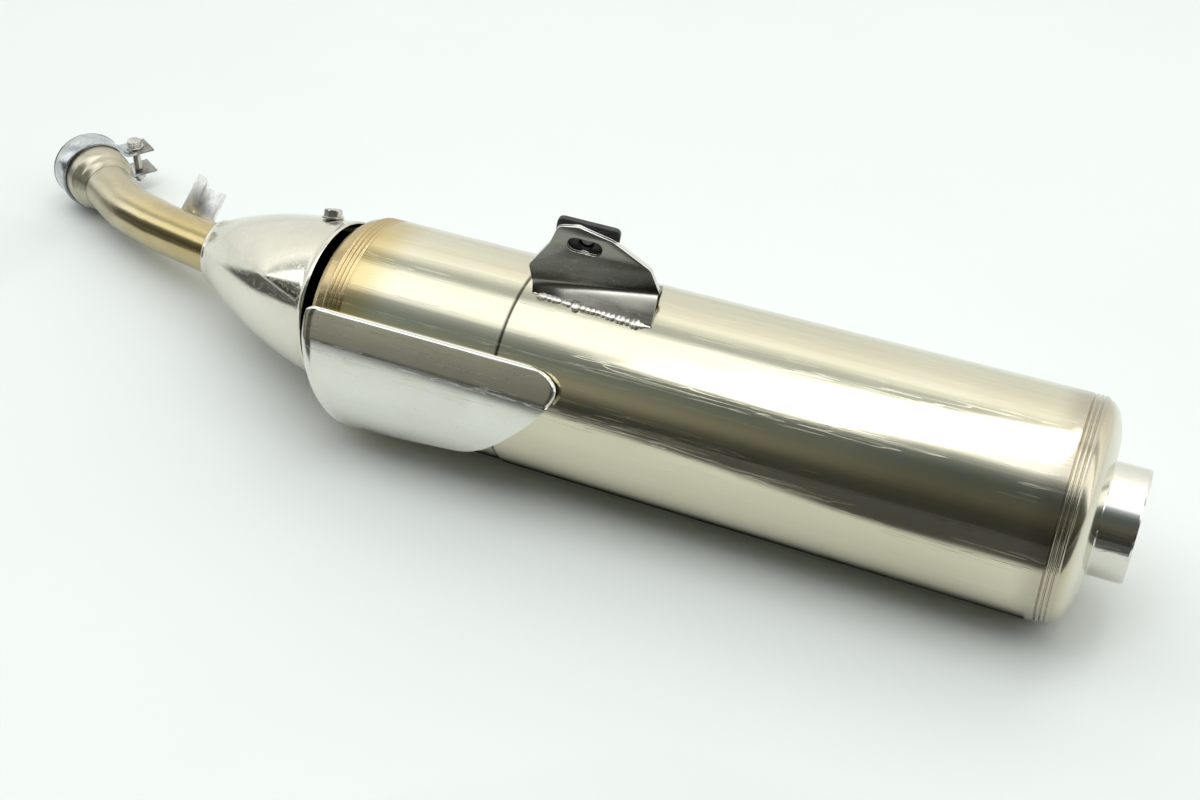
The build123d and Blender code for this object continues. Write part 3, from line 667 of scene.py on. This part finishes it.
def threads(radius, start, end, place, pitch=1.0, steps=32):
    """A shank with thread ridges from start to end along place.z."""
    depths = (0.28, 0.12, 0.0, 0.12)
    count = max(2, int(abs(end - start) / pitch * len(depths)))
    rows = [(start, 0.05)]
    for i in range(count + 1):
        rows.append((start + (end - start) * i / count, radius - depths[i % len(depths)]))
    rows.append((end, 0.05))
    verts = []
    for z, r in rows:
        verts += [place(r * cos(tau * k / steps), r * sin(tau * k / steps), z) for k in range(steps)]
    return verts, grid_faces(len(rows), steps, False, True) + end_faces(len(rows), steps)


def washer(base, thick, radius):
    """The profile of a washer for an M6 screw, its foot at base along the axis."""
    top = base + thick
    return rounded([(base, 3.35), (base, radius, 0.3), (top, radius, 0.5), (top, 3.35, 0.2)], 3)


# ---- the can
SHEET = 0.8
SEAM, END = from_front(REAR_LOW.x), from_front(REAR_HIGH.x)
FRONT_R = RADIUS - SHEET


def ridges(start, width, radius, count, depth, samples=10):
    """(x, r) points of evenly spaced rounded ridges."""
    total = count * samples
    out = []
    for i in range(total + 1):
        wave = 0.5 - 0.5 * cos(tau * i / samples)
        out.append((start + width * i / total, radius - depth * (1 - wave) ** 1.5))
    return out


front_profile = (
    [(0.0, FRONT_R - 1.3), (0.0, FRONT_R - 0.75)]
    + ridges(0.3, 11.7, FRONT_R, 4, 0.7)
    + [(12.9, FRONT_R), (13.6, FRONT_R), (30, FRONT_R), (70, FRONT_R), (SEAM + 6, FRONT_R)]
    + [(SEAM + 6, FRONT_R - SHEET), (12.4, FRONT_R - SHEET), (11.0, FRONT_R - 1.4)]
)
build("front_shell", lathe(front_profile, CAN, 256), "can")
rear_profile = (
    [(SEAM, RADIUS - SHEET), (SEAM, RADIUS - 0.3), (SEAM + 0.1, RADIUS - 0.1), (SEAM + 0.35, RADIUS)]
    + [(SEAM + x, RADIUS) for x in (1.2, 20, 80, 160, 240, END - SEAM - 14)]
    + [(END - 9.4, RADIUS), (END - 8.6, RADIUS - 0.1)]
    + ridges(END - 8.0, 7.4, RADIUS, 3, 0.75)
    + [(END, RADIUS - 0.6), (END, RADIUS - 1.5), (END - 8, RADIUS - 1.5), (END - 9, RADIUS - SHEET)]
)
build("rear_shell", lathe(rear_profile, CAN, 256), "can")

# ---- the rear cap, the spout and the outlet
cap_curve = [
    (-3.0, 61.9), (-0.4, 62.0), (0.6, 61.7), (1.8, 61.2), (3.2, 60.2), (4.6, 58.9), (5.8, 57.3),
    (6.9, 55.4), (7.9, 53.0), (8.8, 50.2), (9.6, 47.2), (10.3, 44.0), (10.8, 41.0), (10.9, 38.6),
    (10.5, 36.6), (9.6, 35.0), (8.8, 33.8), (8.4, 33.0), (8.2, 31.0), (8.2, 21.1),
]
cap_curve = [(END + x, r) for x, r in cap_curve]
cap_bore = cap_curve[-1][1]
cap_profile = cap_curve + [(x - 1.0, max(r - 0.5, cap_bore)) for x, r in reversed(cap_curve)]
build("rear_cap", lathe(cap_profile, CAN, 256), "cap")

TAIL_LOW, TAIL_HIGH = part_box("tail_spout")
TAIL_0, TAIL_1 = from_front(TAIL_LOW.x), from_front(TAIL_HIGH.x)
spout_profile = rounded(
    [
        (TAIL_0, 30.0), (TAIL_0, 33.2, 0.4), (TAIL_0 + 1.1, 33.1, 0.6), (TAIL_0 + 3.5, 31.5, 0.8),
        (TAIL_1 - 1.1, 31.5, 0.4), (TAIL_1, 30.9, 0.3), (TAIL_1, 30.2, 0.2), (TAIL_1 - 0.4, 30.0, 0.2),
    ],
    5,
)
build("tail_spout", lathe(spout_profile, CAN, 224), "spout")

OUT_LOW, OUT_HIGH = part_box("outlet_tube")
OUT_R = (OUT_HIGH.y - OUT_LOW.y) / 2 / MM
OUT_0, OUT_1 = from_front(OUT_LOW.x), from_front(OUT_HIGH.x)
OUT_BORE = OUT_R - 1.2
outlet_profile = rounded([(OUT_0, OUT_BORE), (OUT_0, OUT_R), (OUT_1, OUT_R, 0.5), (OUT_1, OUT_BORE, 0.5)], 4)
build("outlet_tube", lathe(outlet_profile, CAN, 128), "soot")

# ---- the inlet pipe and its socket
YAW = radians(29.5)
SOCKET_DIR = Vector((-cos(YAW), sin(YAW), 0))
SOCKET_OUT = Vector((sin(YAW), cos(YAW), 0))
BAND_R = 26.35
PIPE_START = Vector((-6.0, 0.0, AXIS_H))
PIPE_CORNER = Vector((-218.0, 70.0, 31.7))
PIPE_0, CORNER_1, CORNER_2 = at(*PIPE_START), at(*PIPE_CORNER), at(-263.0, 87.5, BAND_R)
PIPE_END = CORNER_2 + SOCKET_DIR * 37.0 * MM
PIPE_DIR = (CORNER_1 - PIPE_0).normalized()


def bent(points, radius, steps=18):
    """Points of a path of straight runs joined by smooth bends, in metres."""
    out = [points[0]]
    for a, b, c in zip(points, points[1:], points[2:]):
        u, v = (a - b).normalized(), (c - b).normalized()
        cut = radius * MM / tan(u.angle(v) / 2)
        out += [Vector(pulled(b + u * cut, b, b + v * cut, k / steps)) for k in range(steps + 1)]
    return out + [points[-1]]


pipe_mesh = tube(bent([PIPE_0, CORNER_1, CORNER_2, PIPE_END], 130.0), 18.0, 1.5, 96)
build("inlet_pipe", pipe_mesh, "pipe")

SOCKET = Place(PIPE_END, SOCKET_DIR, SOCKET_OUT, (0, 0, 1))
flare = [
    (-0.6, 16.6), (-0.6, 18.2), (0.6, 18.5), (2.0, 19.1), (3.4, 20.1), (4.6, 20.75), (5.6, 20.95),
    (6.6, 20.9), (7.6, 21.2), (9.0, 22.2), (10.6, 23.3), (12.0, 23.85), (13.2, 24.0), (14.2, 23.95),
    (15.2, 24.1), (17.0, 24.2), (22.0, 24.25), (25.0, 24.25), (25.0, 22.5), (15.0, 22.5), (10.6, 21.6),
    (5.6, 19.2), (2.0, 17.4),
]
socket_parts = [lathe(flare, SOCKET, 160)]
finger = rounded([(24.9, 22.5), (24.9, 24.25), (46.0, 24.25, 0.6), (46.0, 22.5, 0.6)], 3)
slot_half = 4.0
for slot_angle in (139.0, 229.0, 319.0, 409.0):
    fingers = (slot_angle + slot_half, slot_angle + 90.0 - slot_half)
    socket_parts.append(lathe(finger, SOCKET, 160, fingers))
build("inlet_socket", join_parts(socket_parts), "pipe")

gasket = rounded([(15.0, 19.2), (15.0, 22.35), (43.0, 22.35, 0.8), (43.0, 19.2, 0.8)], 3)
build("gasket_ring", lathe(gasket, SOCKET, 128), "gasket")

# ---- the band clamp
EAR_ANGLE = radians(-2.7)
EAR_OUT = SOCKET_OUT * cos(EAR_ANGLE) + Vector((0, 0, 1)) * sin(EAR_ANGLE)
EAR_UP = EAR_OUT.cross(SOCKET_DIR)
BAND = Place(PIPE_END + SOCKET_DIR * 22.0 * MM, SOCKET_DIR, EAR_OUT, EAR_UP)
BAND_THICK, BAND_WIDTH, EAR_LENGTH = 1.8, 20.0, 20.0
EAR_INSIDE = 8.0  # half the gap between the ears
EAR_BEND = 3.4
band_mid = BAND_R - BAND_THICK / 2
ear_z = EAR_INSIDE + BAND_THICK / 2


def ear_path(sign):
    """An ear's path from its tip in to the band, and the angle where the band's circle starts."""
    reach = sqrt(band_mid**2 - ear_z**2)
    first_angle = atan2(ear_z, reach) + radians(9.0)
    corner = (reach + 0.6, sign * ear_z)
    bend_start = (corner[0] + EAR_BEND, sign * ear_z)
    bend_end = (band_mid * cos(first_angle), sign * band_mid * sin(first_angle))
    path = [(BAND_R + EAR_LENGTH - 5.5 * k, sign * ear_z) for k in range(3)]
    path += [pulled(bend_start, corner, bend_end, k / 8) for k in range(9)]
    return path, first_angle


upper_ear, first_angle = ear_path(1)
lower_ear = ear_path(-1)[0]
circle_steps = 120
circle = [first_angle + (tau - 2 * first_angle) * k / circle_steps for k in range(circle_steps + 1)]
band_path = upper_ear + [(band_mid * cos(a), band_mid * sin(a)) for a in circle[1:-1]] + lower_ear[::-1]
band_parts = [ribbon(band_path, BAND_THICK, BAND_WIDTH, BAND)]
rim_radius, rim_ring = band_mid + 0.75, 8
for rim_x in (0.9, 19.1):
    verts = []
    for a in circle:
        for j in range(rim_ring):
            spin = tau * j / rim_ring
            r = rim_radius + 0.45 * cos(spin)
            verts.append(BAND(rim_x + 0.55 * sin(spin), r * cos(a), r * sin(a)))
    band_parts.append((verts, grid_faces(len(circle), rim_ring, False, True)))
build("clamp_band", join_parts(band_parts), "band", "clamp")

BOLT_AT = BAND(BAND_WIDTH / 2, BAND_R + 9.0, 0.0)
BOLT_SIDE = EAR_UP.cross(SOCKET_DIR)
BOLT = Place(BOLT_AT, SOCKET_DIR, BOLT_SIDE, EAR_UP)
BOLT_AXIS = Place(BOLT_AT, EAR_UP, SOCKET_DIR, BOLT_SIDE)
BOLT_DOWN = Place(BOLT_AT, SOCKET_DIR, -BOLT_SIDE, -EAR_UP)
seat = EAR_INSIDE + BAND_THICK
head_base = seat + 1.6
build("clamp_washer", lathe(washer(seat, 1.6, 6.5), BOLT_AXIS, 64), "bolt", "clamp")
build("clamp_nut", hexagon(10.0, 5.5, BOLT_DOWN, 0.7, 3.05, seat), "bolt", "clamp")
clamp_bolt = join_parts([hexagon(10.0, 4.5, BOLT, 0.7, 0.0, head_base), threads(3.0, head_base, -18.5, BOLT)])
build("clamp_bolt", clamp_bolt, "bolt", "clamp_bolt")

# ---- the cone cover
COVER_START, COVER_END = -152.0, -17.0
COVER_SMALL_R, COVER_GROWTH, COVER_SWELL = 21.2, 29.8, 24.0
pipe_share = (COVER_START - PIPE_START.x) / (PIPE_CORNER.x - PIPE_START.x)
COVER_SMALL = PIPE_START.lerp(PIPE_CORNER, pipe_share)
COVER_LARGE = Vector((COVER_END, 0.0, AXIS_H + 4.5))


def cover_point(share, angle, lift):
    """A point on the cover's outside, lift millimetres further out."""
    x, y, z = COVER_SMALL.lerp(COVER_LARGE, share)
    radius = COVER_SMALL_R + COVER_GROWTH * share + COVER_SWELL * share * (1 - share) + lift
    return at(x, y + radius * cos(angle), z + radius * sin(angle))


# (share of the length, lift): a rolled rim, the plain cone and the large rolled rim
cover_rows = [(0.0, -0.35), (0.004, 0.35), (0.012, 0.75), (0.022, 0.62), (0.030, 0.12), (0.036, 0.0)]
cover_rows += [(0.036 + (0.962 - 0.036) * k / 40, 0.0) for k in range(1, 41)]
cover_rows += [(0.967, 0.12), (0.973, 0.65), (0.980, 1.05), (0.988, 1.15), (0.995, 0.95), (1.0, 0.5)]
cover_ring = 224
cover_verts = [
    cover_point(share, tau * k / cover_ring, lift) for share, lift in cover_rows for k in range(cover_ring)
]
cover_mesh = cover_verts, grid_faces(len(cover_rows), cover_ring, False, True)
build(
    "cone_cover", cover_mesh, "cover", sharp=60.0, modifiers=[thick_sheet(1.2), worn(0.25, 2)]
)

SCREW_ANGLE, SCREW_TILT, SCREW_SHARE = radians(64.0), radians(6.0), 0.88
forward, radial = Vector((1, 0, 0)), Vector((0, cos(SCREW_ANGLE), sin(SCREW_ANGLE)))
screw_z = radial * cos(SCREW_TILT) - forward * sin(SCREW_TILT)
screw_x = forward * cos(SCREW_TILT) + radial * sin(SCREW_TILT)
screw_at = at(*COVER_SMALL.lerp(COVER_LARGE, SCREW_SHARE))
SCREW = Place(screw_at, screw_x, screw_z.cross(screw_x), screw_z)
SCREW_AXIS = Place(screw_at, screw_z, screw_x, SCREW.y)
cover_top, screw_end = 49.9, 39.0
head_base = cover_top + 1.2
build("cover_washer", lathe(washer(cover_top, 1.2, 7.0), SCREW_AXIS, 64), "bolt")
cover_screw = join_parts(
    [hexagon(10.0, 4.5, SCREW, 0.8, 0.0, head_base), threads(3.0, head_base, screw_end, SCREW)]
)
build("cover_screw", cover_screw, "bolt")

# ---- the side shield
SHIELD_R = (AXIS_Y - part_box("side_shield")[0].y) / MM
SHIELD_TOP, SHIELD_CREASE, SHIELD_LOW = radians(142.0), radians(158.0), radians(221.3)
FACET_SHARE, FACET_BULGE = 0.22, 0.002
TIP_HEIGHT = 88.0  # above it the rear edge is curled in like the top one
# (height over the floor, x of the edge)
front_edge = [
    (17.4, 9.0), (20.0, 6.6), (24.0, 6.0), (28.6, 5.4), (39.0, 3.7), (51.4, 1.2), (64.2, -0.9), (73.7, -2.4),
    (85.3, -4.3), (94.5, -5.4), (101.0, -5.6), (104.5, -4.6), (106.6, -1.5),
]
rear_edge = [
    (17.4, 12.0), (20.0, 22.0), (24.0, 40.0), (28.0, 60.0), (31.5, 76.0), (34.5, 93.0), (38.0, 102.0),
    (45.0, 112.5), (55.0, 124.3), (70.0, 139.4), (77.3, 146.4), (83.0, 150.8), (87.0, 154.0), (91.0, 156.4),
    (94.0, 157.6), (97.0, 157.7), (99.5, 156.9), (101.5, 155.2), (103.5, 152.2), (105.0, 148.3),
    (106.0, 143.5), (106.4, 140.0), (106.6, 136.0),
]
LOWEST, HIGHEST = front_edge[0][0], front_edge[-1][0]


def edge_x(edge, height):
    heights, places = zip(*edge)
    return float(np.interp(height, heights, places))


def shield_section(share):
    """(y, z) about the can's axis, from the top edge at 0 to the low edge at 1: a flat facet, then an arc."""
    if share < FACET_SHARE:
        a = np.array([cos(SHIELD_TOP), sin(SHIELD_TOP)]) * SHIELD_R
        b = np.array([cos(SHIELD_CREASE), sin(SHIELD_CREASE)]) * SHIELD_R
        p = a + (b - a) * (share / FACET_SHARE)
        return p * (1 + FACET_BULGE * sin(pi * share / FACET_SHARE))
    angle = SHIELD_CREASE + (SHIELD_LOW - SHIELD_CREASE) * (share - FACET_SHARE) / (1 - FACET_SHARE)
    return SHIELD_R * cos(angle), SHIELD_R * sin(angle)


shield_rows, shield_columns = 96, 120
shield_verts = []
for i in range(shield_rows):
    share = (i / (shield_rows - 1)) ** 1.5
    y, z = shield_section(share)
    height = min(HIGHEST, max(LOWEST, z + AXIS_H))
    x0, x1 = edge_x(front_edge, height), edge_x(rear_edge, height)
    for j in range(shield_columns):
        t = j / (shield_columns - 1)
        t = t * t * (3 - 2 * t) * 0.5 + t * 0.5
        x = x0 + (x1 - x0) * t
        lip = 0.0
        if x - x0 < 5.0 and share < 0.93:
            lip = 0.75 * sin(pi * min(1.0, (x - x0) / 5.0)) ** 0.8
        curl = max(0.0, 1 - share / 0.032) ** 2
        if height > TIP_HEIGHT:
            curl = max(curl, max(0.0, 1 - (x1 - x) / 2.4) ** 2)
        r = hypot(y, z)
        k = (r + lip - 2.0 * curl) / r
        shield_verts.append(at(x, y * k, AXIS_H + z * k))
shield_mesh = shield_verts, grid_faces(shield_rows, shield_columns)
build(
    "side_shield", shield_mesh, "shield", sharp=50.0,
    modifiers=[thick_sheet(1.5), worn(0.45, 3)],
)

# ---- the hanger
HANG_YAW = radians(12.6)
HANG_X = Vector((cos(HANG_YAW), sin(HANG_YAW), 0))
HANG_N = Vector((sin(HANG_YAW), -cos(HANG_YAW), 0))
HANG_SHEET, HANG_LENGTH = 2.0, 72.0
HANGER = Place(at(121.6, -11.4, 131.0), HANG_X, (0, 0, 1), HANG_N)
hanger_corners = [
    (0, 0), (-2.0, 12.0, 4), (10.5, 28.0, 8), (15.5, 39.5, 5), (27.0, 40.0, 5), (46.0, 33.0, 6),
    (67.5, 17.0, 7), (73.0, 2.0, 3), (72.0, 0),
]
hanger_outline = rounded(hanger_corners, 6)
SLOPE = radians(-9.0)
SLOT_X, SLOT_Z = 30.3, 27.5


def on_slope(x, y):
    """From the slot's own centre and slope to the hanger's plane."""
    return SLOT_X + x * cos(SLOPE) - y * sin(SLOPE), SLOT_Z + x * sin(SLOPE) + y * cos(SLOPE)


def slot_loop(length, width, steps=12):
    """The outline of a slot with round ends."""
    loop = []
    for end in (1, -1):
        for k in range(steps + 1):
            angle = -pi / 2 + pi * k / steps + (0 if end == 1 else pi)
            loop.append(on_slope(end * (length - width) / 2 + width / 2 * cos(angle), width / 2 * sin(angle)))
    return loop


def foot(side, reach_0, reach_1):
    """A hanger sheet's foot: it folds out from the sheet and runs down to the can."""
    rows, cols, half = 60, 16, HANG_SHEET / 2
    outer, inner = [], []
    for i in range(rows):
        along = HANG_LENGTH * i / (rows - 1)
        reach = reach_0 + (reach_1 - reach_0) * i / (rows - 1)
        top, fold, toe = (1.0, 3.0), (1.0, 0.2), (reach, -5.6)
        fold_end = tuple(fold[n] + (toe[n] - fold[n]) * 0.35 for n in (0, 1))
        line = []
        for j in range(cols):
            t = 2 * j / (cols - 1)
            if t < 1:
                line.append(pulled(top, fold, fold_end, t))
            else:
                line.append(tuple(fold_end[n] + (toe[n] - fold_end[n]) * (t - 1) for n in (0, 1)))
        for j, (out, up) in enumerate(line):
            before, after = line[max(j - 1, 0)], line[min(j + 1, cols - 1)]
            d_out, d_up = after[0] - before[0], after[1] - before[1]
            length = hypot(d_out, d_up)
            n_out, n_up = -d_up / length * half, d_out / length * half
            outer.append(HANGER(along, up + n_up, side * (out + n_out)))
            inner.append(HANGER(along, up - n_up, side * (out - n_out)))
    total = rows * cols
    faces = grid_faces(rows, cols) + grid_faces(rows, cols, False, False, total)
    rims = [(i * cols + j, (i + 1) * cols + j) for i in range(rows - 1) for j in (0, cols - 1)]
    rims += [(i * cols + j, i * cols + j + 1) for j in range(cols - 1) for i in (0, rows - 1)]
    faces += [(a, b, b + total, a + total) for a, b in rims]
    return outer + inner, faces


FEET = {"front": (1, 2.9, 22.0), "rear": (-1, 20.0, 15.5)}
HANGER_BACK = Place(HANGER(0, 0, -HANG_SHEET), HANGER.x, HANGER.y, HANGER.z)
slot = slot_loop(20.0, 9.0)
for end, place in (("front", HANGER), ("rear", HANGER_BACK)):
    sheet = join_parts([plate(hanger_outline, 1.96, place, 0.35, [slot]), foot(*FEET[end])])
    build(f"hanger_{end}_sheet", sheet, "hanger", sharp=40.0, name=f"hanger_{end}_skin")

nut_outline = rounded([(-18, -12.5, 4), (18, -12.5, 4), (18, 12.5, 4), (-18, 12.5, 4)], 6)
nut_outline = [on_slope(x, y) for x, y in nut_outline]
hole = [(SLOT_X + 4.35 * cos(tau * k / 32), SLOT_Z + 4.35 * sin(tau * k / 32)) for k in range(32)]
NUT_PLATE = Place(HANGER(0, 0, -6.0), HANGER.x, HANGER.y, HANGER.z)
nut_plate = plate(nut_outline, 4.0, NUT_PLATE, 0.5, [hole])
build("nut_plate", nut_plate, "black", sharp=40.0)
NUT = Place(HANGER(SLOT_X, SLOT_Z, -6.0), HANGER.x, -HANGER.y, -HANGER.z)
build("hanger_nut", hexagon(13.0, 6.5, NUT, 0.9, 3.4), "nut")


def foot_corner(along, reach, side):
    """Where a foot meets the can's surface."""
    p = HANGER(along, 0, side * reach)
    drop = (p.y - AXIS_Y) / MM
    return Vector((p.x, p.y, AXIS_Z + sqrt(RADIUS**2 - drop**2) * MM))


def bead(start, end, ripples, seed, radius=2.3, drops=44):
    """A weld bead: overlapping ripples along a line, with a few drops of spatter beside it."""
    noise = np.random.default_rng(seed)
    rows, ring = ripples * 6, 20
    line = end - start
    along = line.normalized()
    side = along.cross(Vector((0, 0, 1))).normalized()
    up = side.cross(along)
    wide = 1 + 0.18 * noise.standard_normal(ripples + 2)
    verts = []
    for i in range(rows + 1):
        t = i / rows
        k, f = int(t * ripples), t * ripples - int(t * ripples)
        swell = (wide[k] * (1 - f) + wide[k + 1] * f) * (0.86 + 0.2 * sqrt(max(0.0, sin(pi * f))))
        r = radius * swell * min(1.0, 0.25 + 8 * t, 0.25 + 8 * (1 - t))
        for j in range(ring):
            a = tau * j / ring
            lag = along * (0.35 * cos(a) * MM)
            verts.append(start + line * t + lag + (side * cos(a) * 1.6 + up * sin(a) * 0.7) * (r * MM))
    parts = [(verts, grid_faces(rows + 1, ring, False, True) + end_faces(rows + 1, ring))]
    drop_ring = [tau * a / 8 for a in range(8)]
    drop_faces = grid_faces(4, 8, False, True) + [tuple(range(24, 32))]
    for _ in range(drops):
        t, off = noise.uniform(0.02, 0.98), noise.normal(0, 3.2)
        r = noise.uniform(0.18, 0.5) * MM
        p = start + line * t + side * (off * MM)
        p.z = AXIS_Z + sqrt(max(0.0, (RADIUS * MM) ** 2 - (p.y - AXIS_Y) ** 2))
        ball = [p + Vector((cos(a) * cos(e), sin(a) * cos(e), sin(e))) * r
                for e in (-0.6, 0.0, 0.7, 1.3) for a in drop_ring]
        parts.append((ball, drop_faces))
    return join_parts(parts)


welds = []
for (side, reach_0, reach_1), seed in zip(FEET.values(), (3, 5)):
    welds.append(bead(foot_corner(0.5, reach_0, side), foot_corner(71.5, reach_1, side), 24, seed))
build("hanger_welds", join_parts(welds), "weld", sharp=60.0, name="hanger_weld_beads")

# ---- the channel bracket on the pipe
CHANNEL_X = -188.0
channel_at = PIPE_0.lerp(CORNER_1, (CHANNEL_X - PIPE_START.x) / (PIPE_CORNER.x - PIPE_START.x))
lean = Vector((0.0, 0.75, 0.66))
channel_out = (lean - PIPE_DIR * lean.dot(PIPE_DIR)).normalized()
CHANNEL = Place(channel_at, PIPE_DIR, channel_out.cross(PIPE_DIR), channel_out)


def channel_mesh():
    """A folded sheet with a tall flange on one side and a low lip on the other."""
    path = [(13.0, 5.5), (13.0, -1.6), (12.6, -3.4), (11.2, -4.5), (9.6, -4.5)]
    path += [(0.0, -4.5), (-10.6, -4.5), (-12.2, -4.3), (-13.0, -3.2), (-13.0, -1.6)]
    heights = [45.0, 45.0, 43.5, 41.0, 39.2, 39.0, 39.0, 39.0, 39.0, 38.0]
    foot_z = 16.4
    verts = []
    for i, ((a, b), top_z) in enumerate(zip(path, heights)):
        pa, pb = path[max(i - 1, 0)], path[min(i + 1, len(path) - 1)]
        length = hypot(pb[0] - pa[0], pb[1] - pa[1])
        na, nb = -(pb[1] - pa[1]) / length, (pb[0] - pa[0]) / length
        for o, z in ((-1.0, foot_z), (1.0, foot_z), (1.0, top_z), (-1.0, top_z)):
            verts.append(CHANNEL(a + na * o, b + nb * o, z))
    return verts, grid_faces(len(path), 4, False, True) + end_faces(len(path), 4)


build("pipe_channel", channel_mesh(), "channel", sharp=35.0, modifiers=[worn(0.35, 2)])

# ---- finishes for the CAD pieces that stay
keep = {
    "front_cap": "can", "inlet_weld": "weld", "cover_tab": "channel", "shield_standoffs": "inner",
    "front_baffle": "inner", "middle_baffle": "inner", "rear_baffle": "soot", "core_tube": "soot",
    "liner": "inner", "glass_wool": "wool", "transfer_tubes": "inner",
}
for name, finish in keep.items():
    mesh = NODES[name].data
    mesh.materials.clear()
    mesh.materials.append(MAT[finish])

# ---- floor, world, light and camera


def stage_sheet(name, outline, height, material):
    """A flat sheet of the set, lying at a height in metres."""
    mesh = bpy.data.meshes.new(name)
    mesh.from_pydata([(x, y, height) for x, y in outline], [], [tuple(range(len(outline)))])
    mesh.materials.append(material)
    obj = bpy.data.objects.new(name, mesh)
    SCENE.collection.objects.link(obj)
    return obj


def floor_paint():
    f = Finish("floor_paint", metallic=0.0)
    cloud = f.noise(3, 4.0, 0.6, 0.3)
    colour = f.mix(cloud, (0.80, 0.825, 0.805), (0.765, 0.795, 0.775))
    return f.done(colour, f.plus(0.42, f.times(cloud, 0.1)))


stage_sheet("floor", [(-6, -6), (6, -6), (6, 6), (-6, 6)], 0, floor_paint())

world = bpy.data.worlds.new("studio")
SCENE.world = world
world.use_nodes = True
w = Nodes(world.node_tree)
x, y, z = w.parts(w.node("ShaderNodeTexCoord").outputs["Generated"])
# The angle round the can's axis from the near horizon at 0 to the far one at 1.
turn = w.math("DIVIDE", w.math("ABSOLUTE", w.math("ARCTAN2", z, w.times(y, -1.0))), pi)
# (degrees, colour): dark near the near horizon, bright overhead and behind
bands = [
    (0, (0.04, 0.042, 0.038)), (14, (0.055, 0.055, 0.045)), (28, (0.115, 0.11, 0.085)),
    (46, (0.095, 0.115, 0.11)), (54, (0.17, 0.19, 0.19)), (62, (0.48, 0.52, 0.54)), (69, (1.70, 1.76, 1.80)),
    (98, (1.70, 1.74, 1.74)), (105, (0.60, 0.65, 0.64)), (113, (0.66, 0.70, 0.68)), (126, (1.42, 1.42, 1.36)),
    (143, (1.12, 1.13, 1.08)), (162, (0.98, 1.00, 0.96)), (180, (0.92, 0.94, 0.92)),
]
sky = w.ramp(turn, *((degrees / 180.0, colour) for degrees, colour in bands))
# The low dark part is brighter towards the inlet's side, where the shield and the can's front face.
side_stops = [(0.0, 0.0), (0.10, 0.0), (0.25, 0.38), (0.45, 1.0), (0.62, 1.0), (0.85, 0.1)]
low_stops = [(0.0, 0.0), (0.03, 0.3), (0.085, 2.2), (0.12, 3.6), (0.17, 2.3), (0.24, 1.5), (0.33, 0.0)]
inlet_side = w.ramp(w.times(x, -1.0), *side_stops)
background = w.tree.nodes["Background"]
w.plug(background.inputs["Color"], sky)
w.plug(background.inputs["Strength"], w.plus(w.times(inlet_side, w.ramp(turn, *low_stops)), 1.0))


def flag_cloth(name):
    """Floor-coloured cloth that darkens smoothly towards the middle of a floor card; under the can that dark
    middle is painted shadow.
    """
    f = Finish(name, metallic=0.0)
    x, y = f.axis(0), f.axis(1)
    near = f.math("SUBTRACT", f.times(f.noise(9, 3.0), 0.05), y)
    if name == "front_flag":
        across = f.plus(f.times(x, 1.04), near)
        inside = f.times(f.span(across, 0.485, 0.565), f.span(near, 0.25, 0.30))
    elif name == "side_flag":
        away = f.times(x, -1.0)
        reach = f.math("SUBTRACT", f.times(away, 0.45), f.plus(near, 0.055))
        inside = f.times(f.span(away, 0.385, 0.47), f.span(reach, 0.0, 0.06))
        inside = f.times(inside, f.span(near, 0.015, 0.05))
    else:
        # The card under the can: painted shadow, darkening the can's reflection of the floor beside its
        # contact line.
        inside = f.span(f.times(y, -1.0), 0.104, 0.084)
    return f.done(f.mix(inside, (0.78, 0.805, 0.785), (0.05, 0.05, 0.047)), 0.9)


# Dark cards just over the floor, seen only in reflections: name, height and outline in metres
front_card = [
    (-0.60, -1.05), (-0.12, -0.57), (0.10, -0.32), (0.22, -0.235), (0.342, -0.225), (0.62, -0.21),
    (2.2, -0.4), (2.2, -5.5), (-2.5, -5.5),
]
cards = [
    ("front_flag", 0.003, front_card),
    ("side_flag", 0.003, [(-0.375, 0.03), (-0.375, -0.16), (-3.0, -1.35), (-3.0, 0.05)]),
    # A painted shadow under the can, seen only in the can's reflection of the floor.
    ("under_can_shadow_card", 0.0012, [(-0.05, -0.106), (0.365, -0.106), (0.365, -0.005), (-0.05, -0.005)]),
]
for name, height, outline in cards:
    card = stage_sheet(name, outline, height, flag_cloth(name))
    card.visible_camera = False
    card.visible_diffuse = False
    card.visible_shadow = False
    card.visible_transmission = False

key = bpy.data.lights.new("key", "AREA")
key.shape = "RECTANGLE"
key.size, key.size_y, key.energy = 2.2, 0.42, 7.0
key_obj = bpy.data.objects.new("key", key)
key_obj.location = (0.15, -0.12, 1.7)
key_aim = Vector((0.0, -0.05, 0.05)) - key_obj.location
key_obj.rotation_euler = key_aim.to_track_quat("-Z", "Y").to_euler()
SCENE.collection.objects.link(key_obj)

camera = bpy.data.cameras.new("camera")
camera.sensor_width = 36.0
camera.lens = 45.41
camera_obj = bpy.data.objects.new("camera", camera)
camera_obj.rotation_euler = (radians(51.18), 0.0, radians(24.15))
camera_obj.location = at(447.6, -646.1, 617.2)
SCENE.collection.objects.link(camera_obj)
SCENE.camera = camera_obj
SCENE.view_settings.view_transform = "Standard"
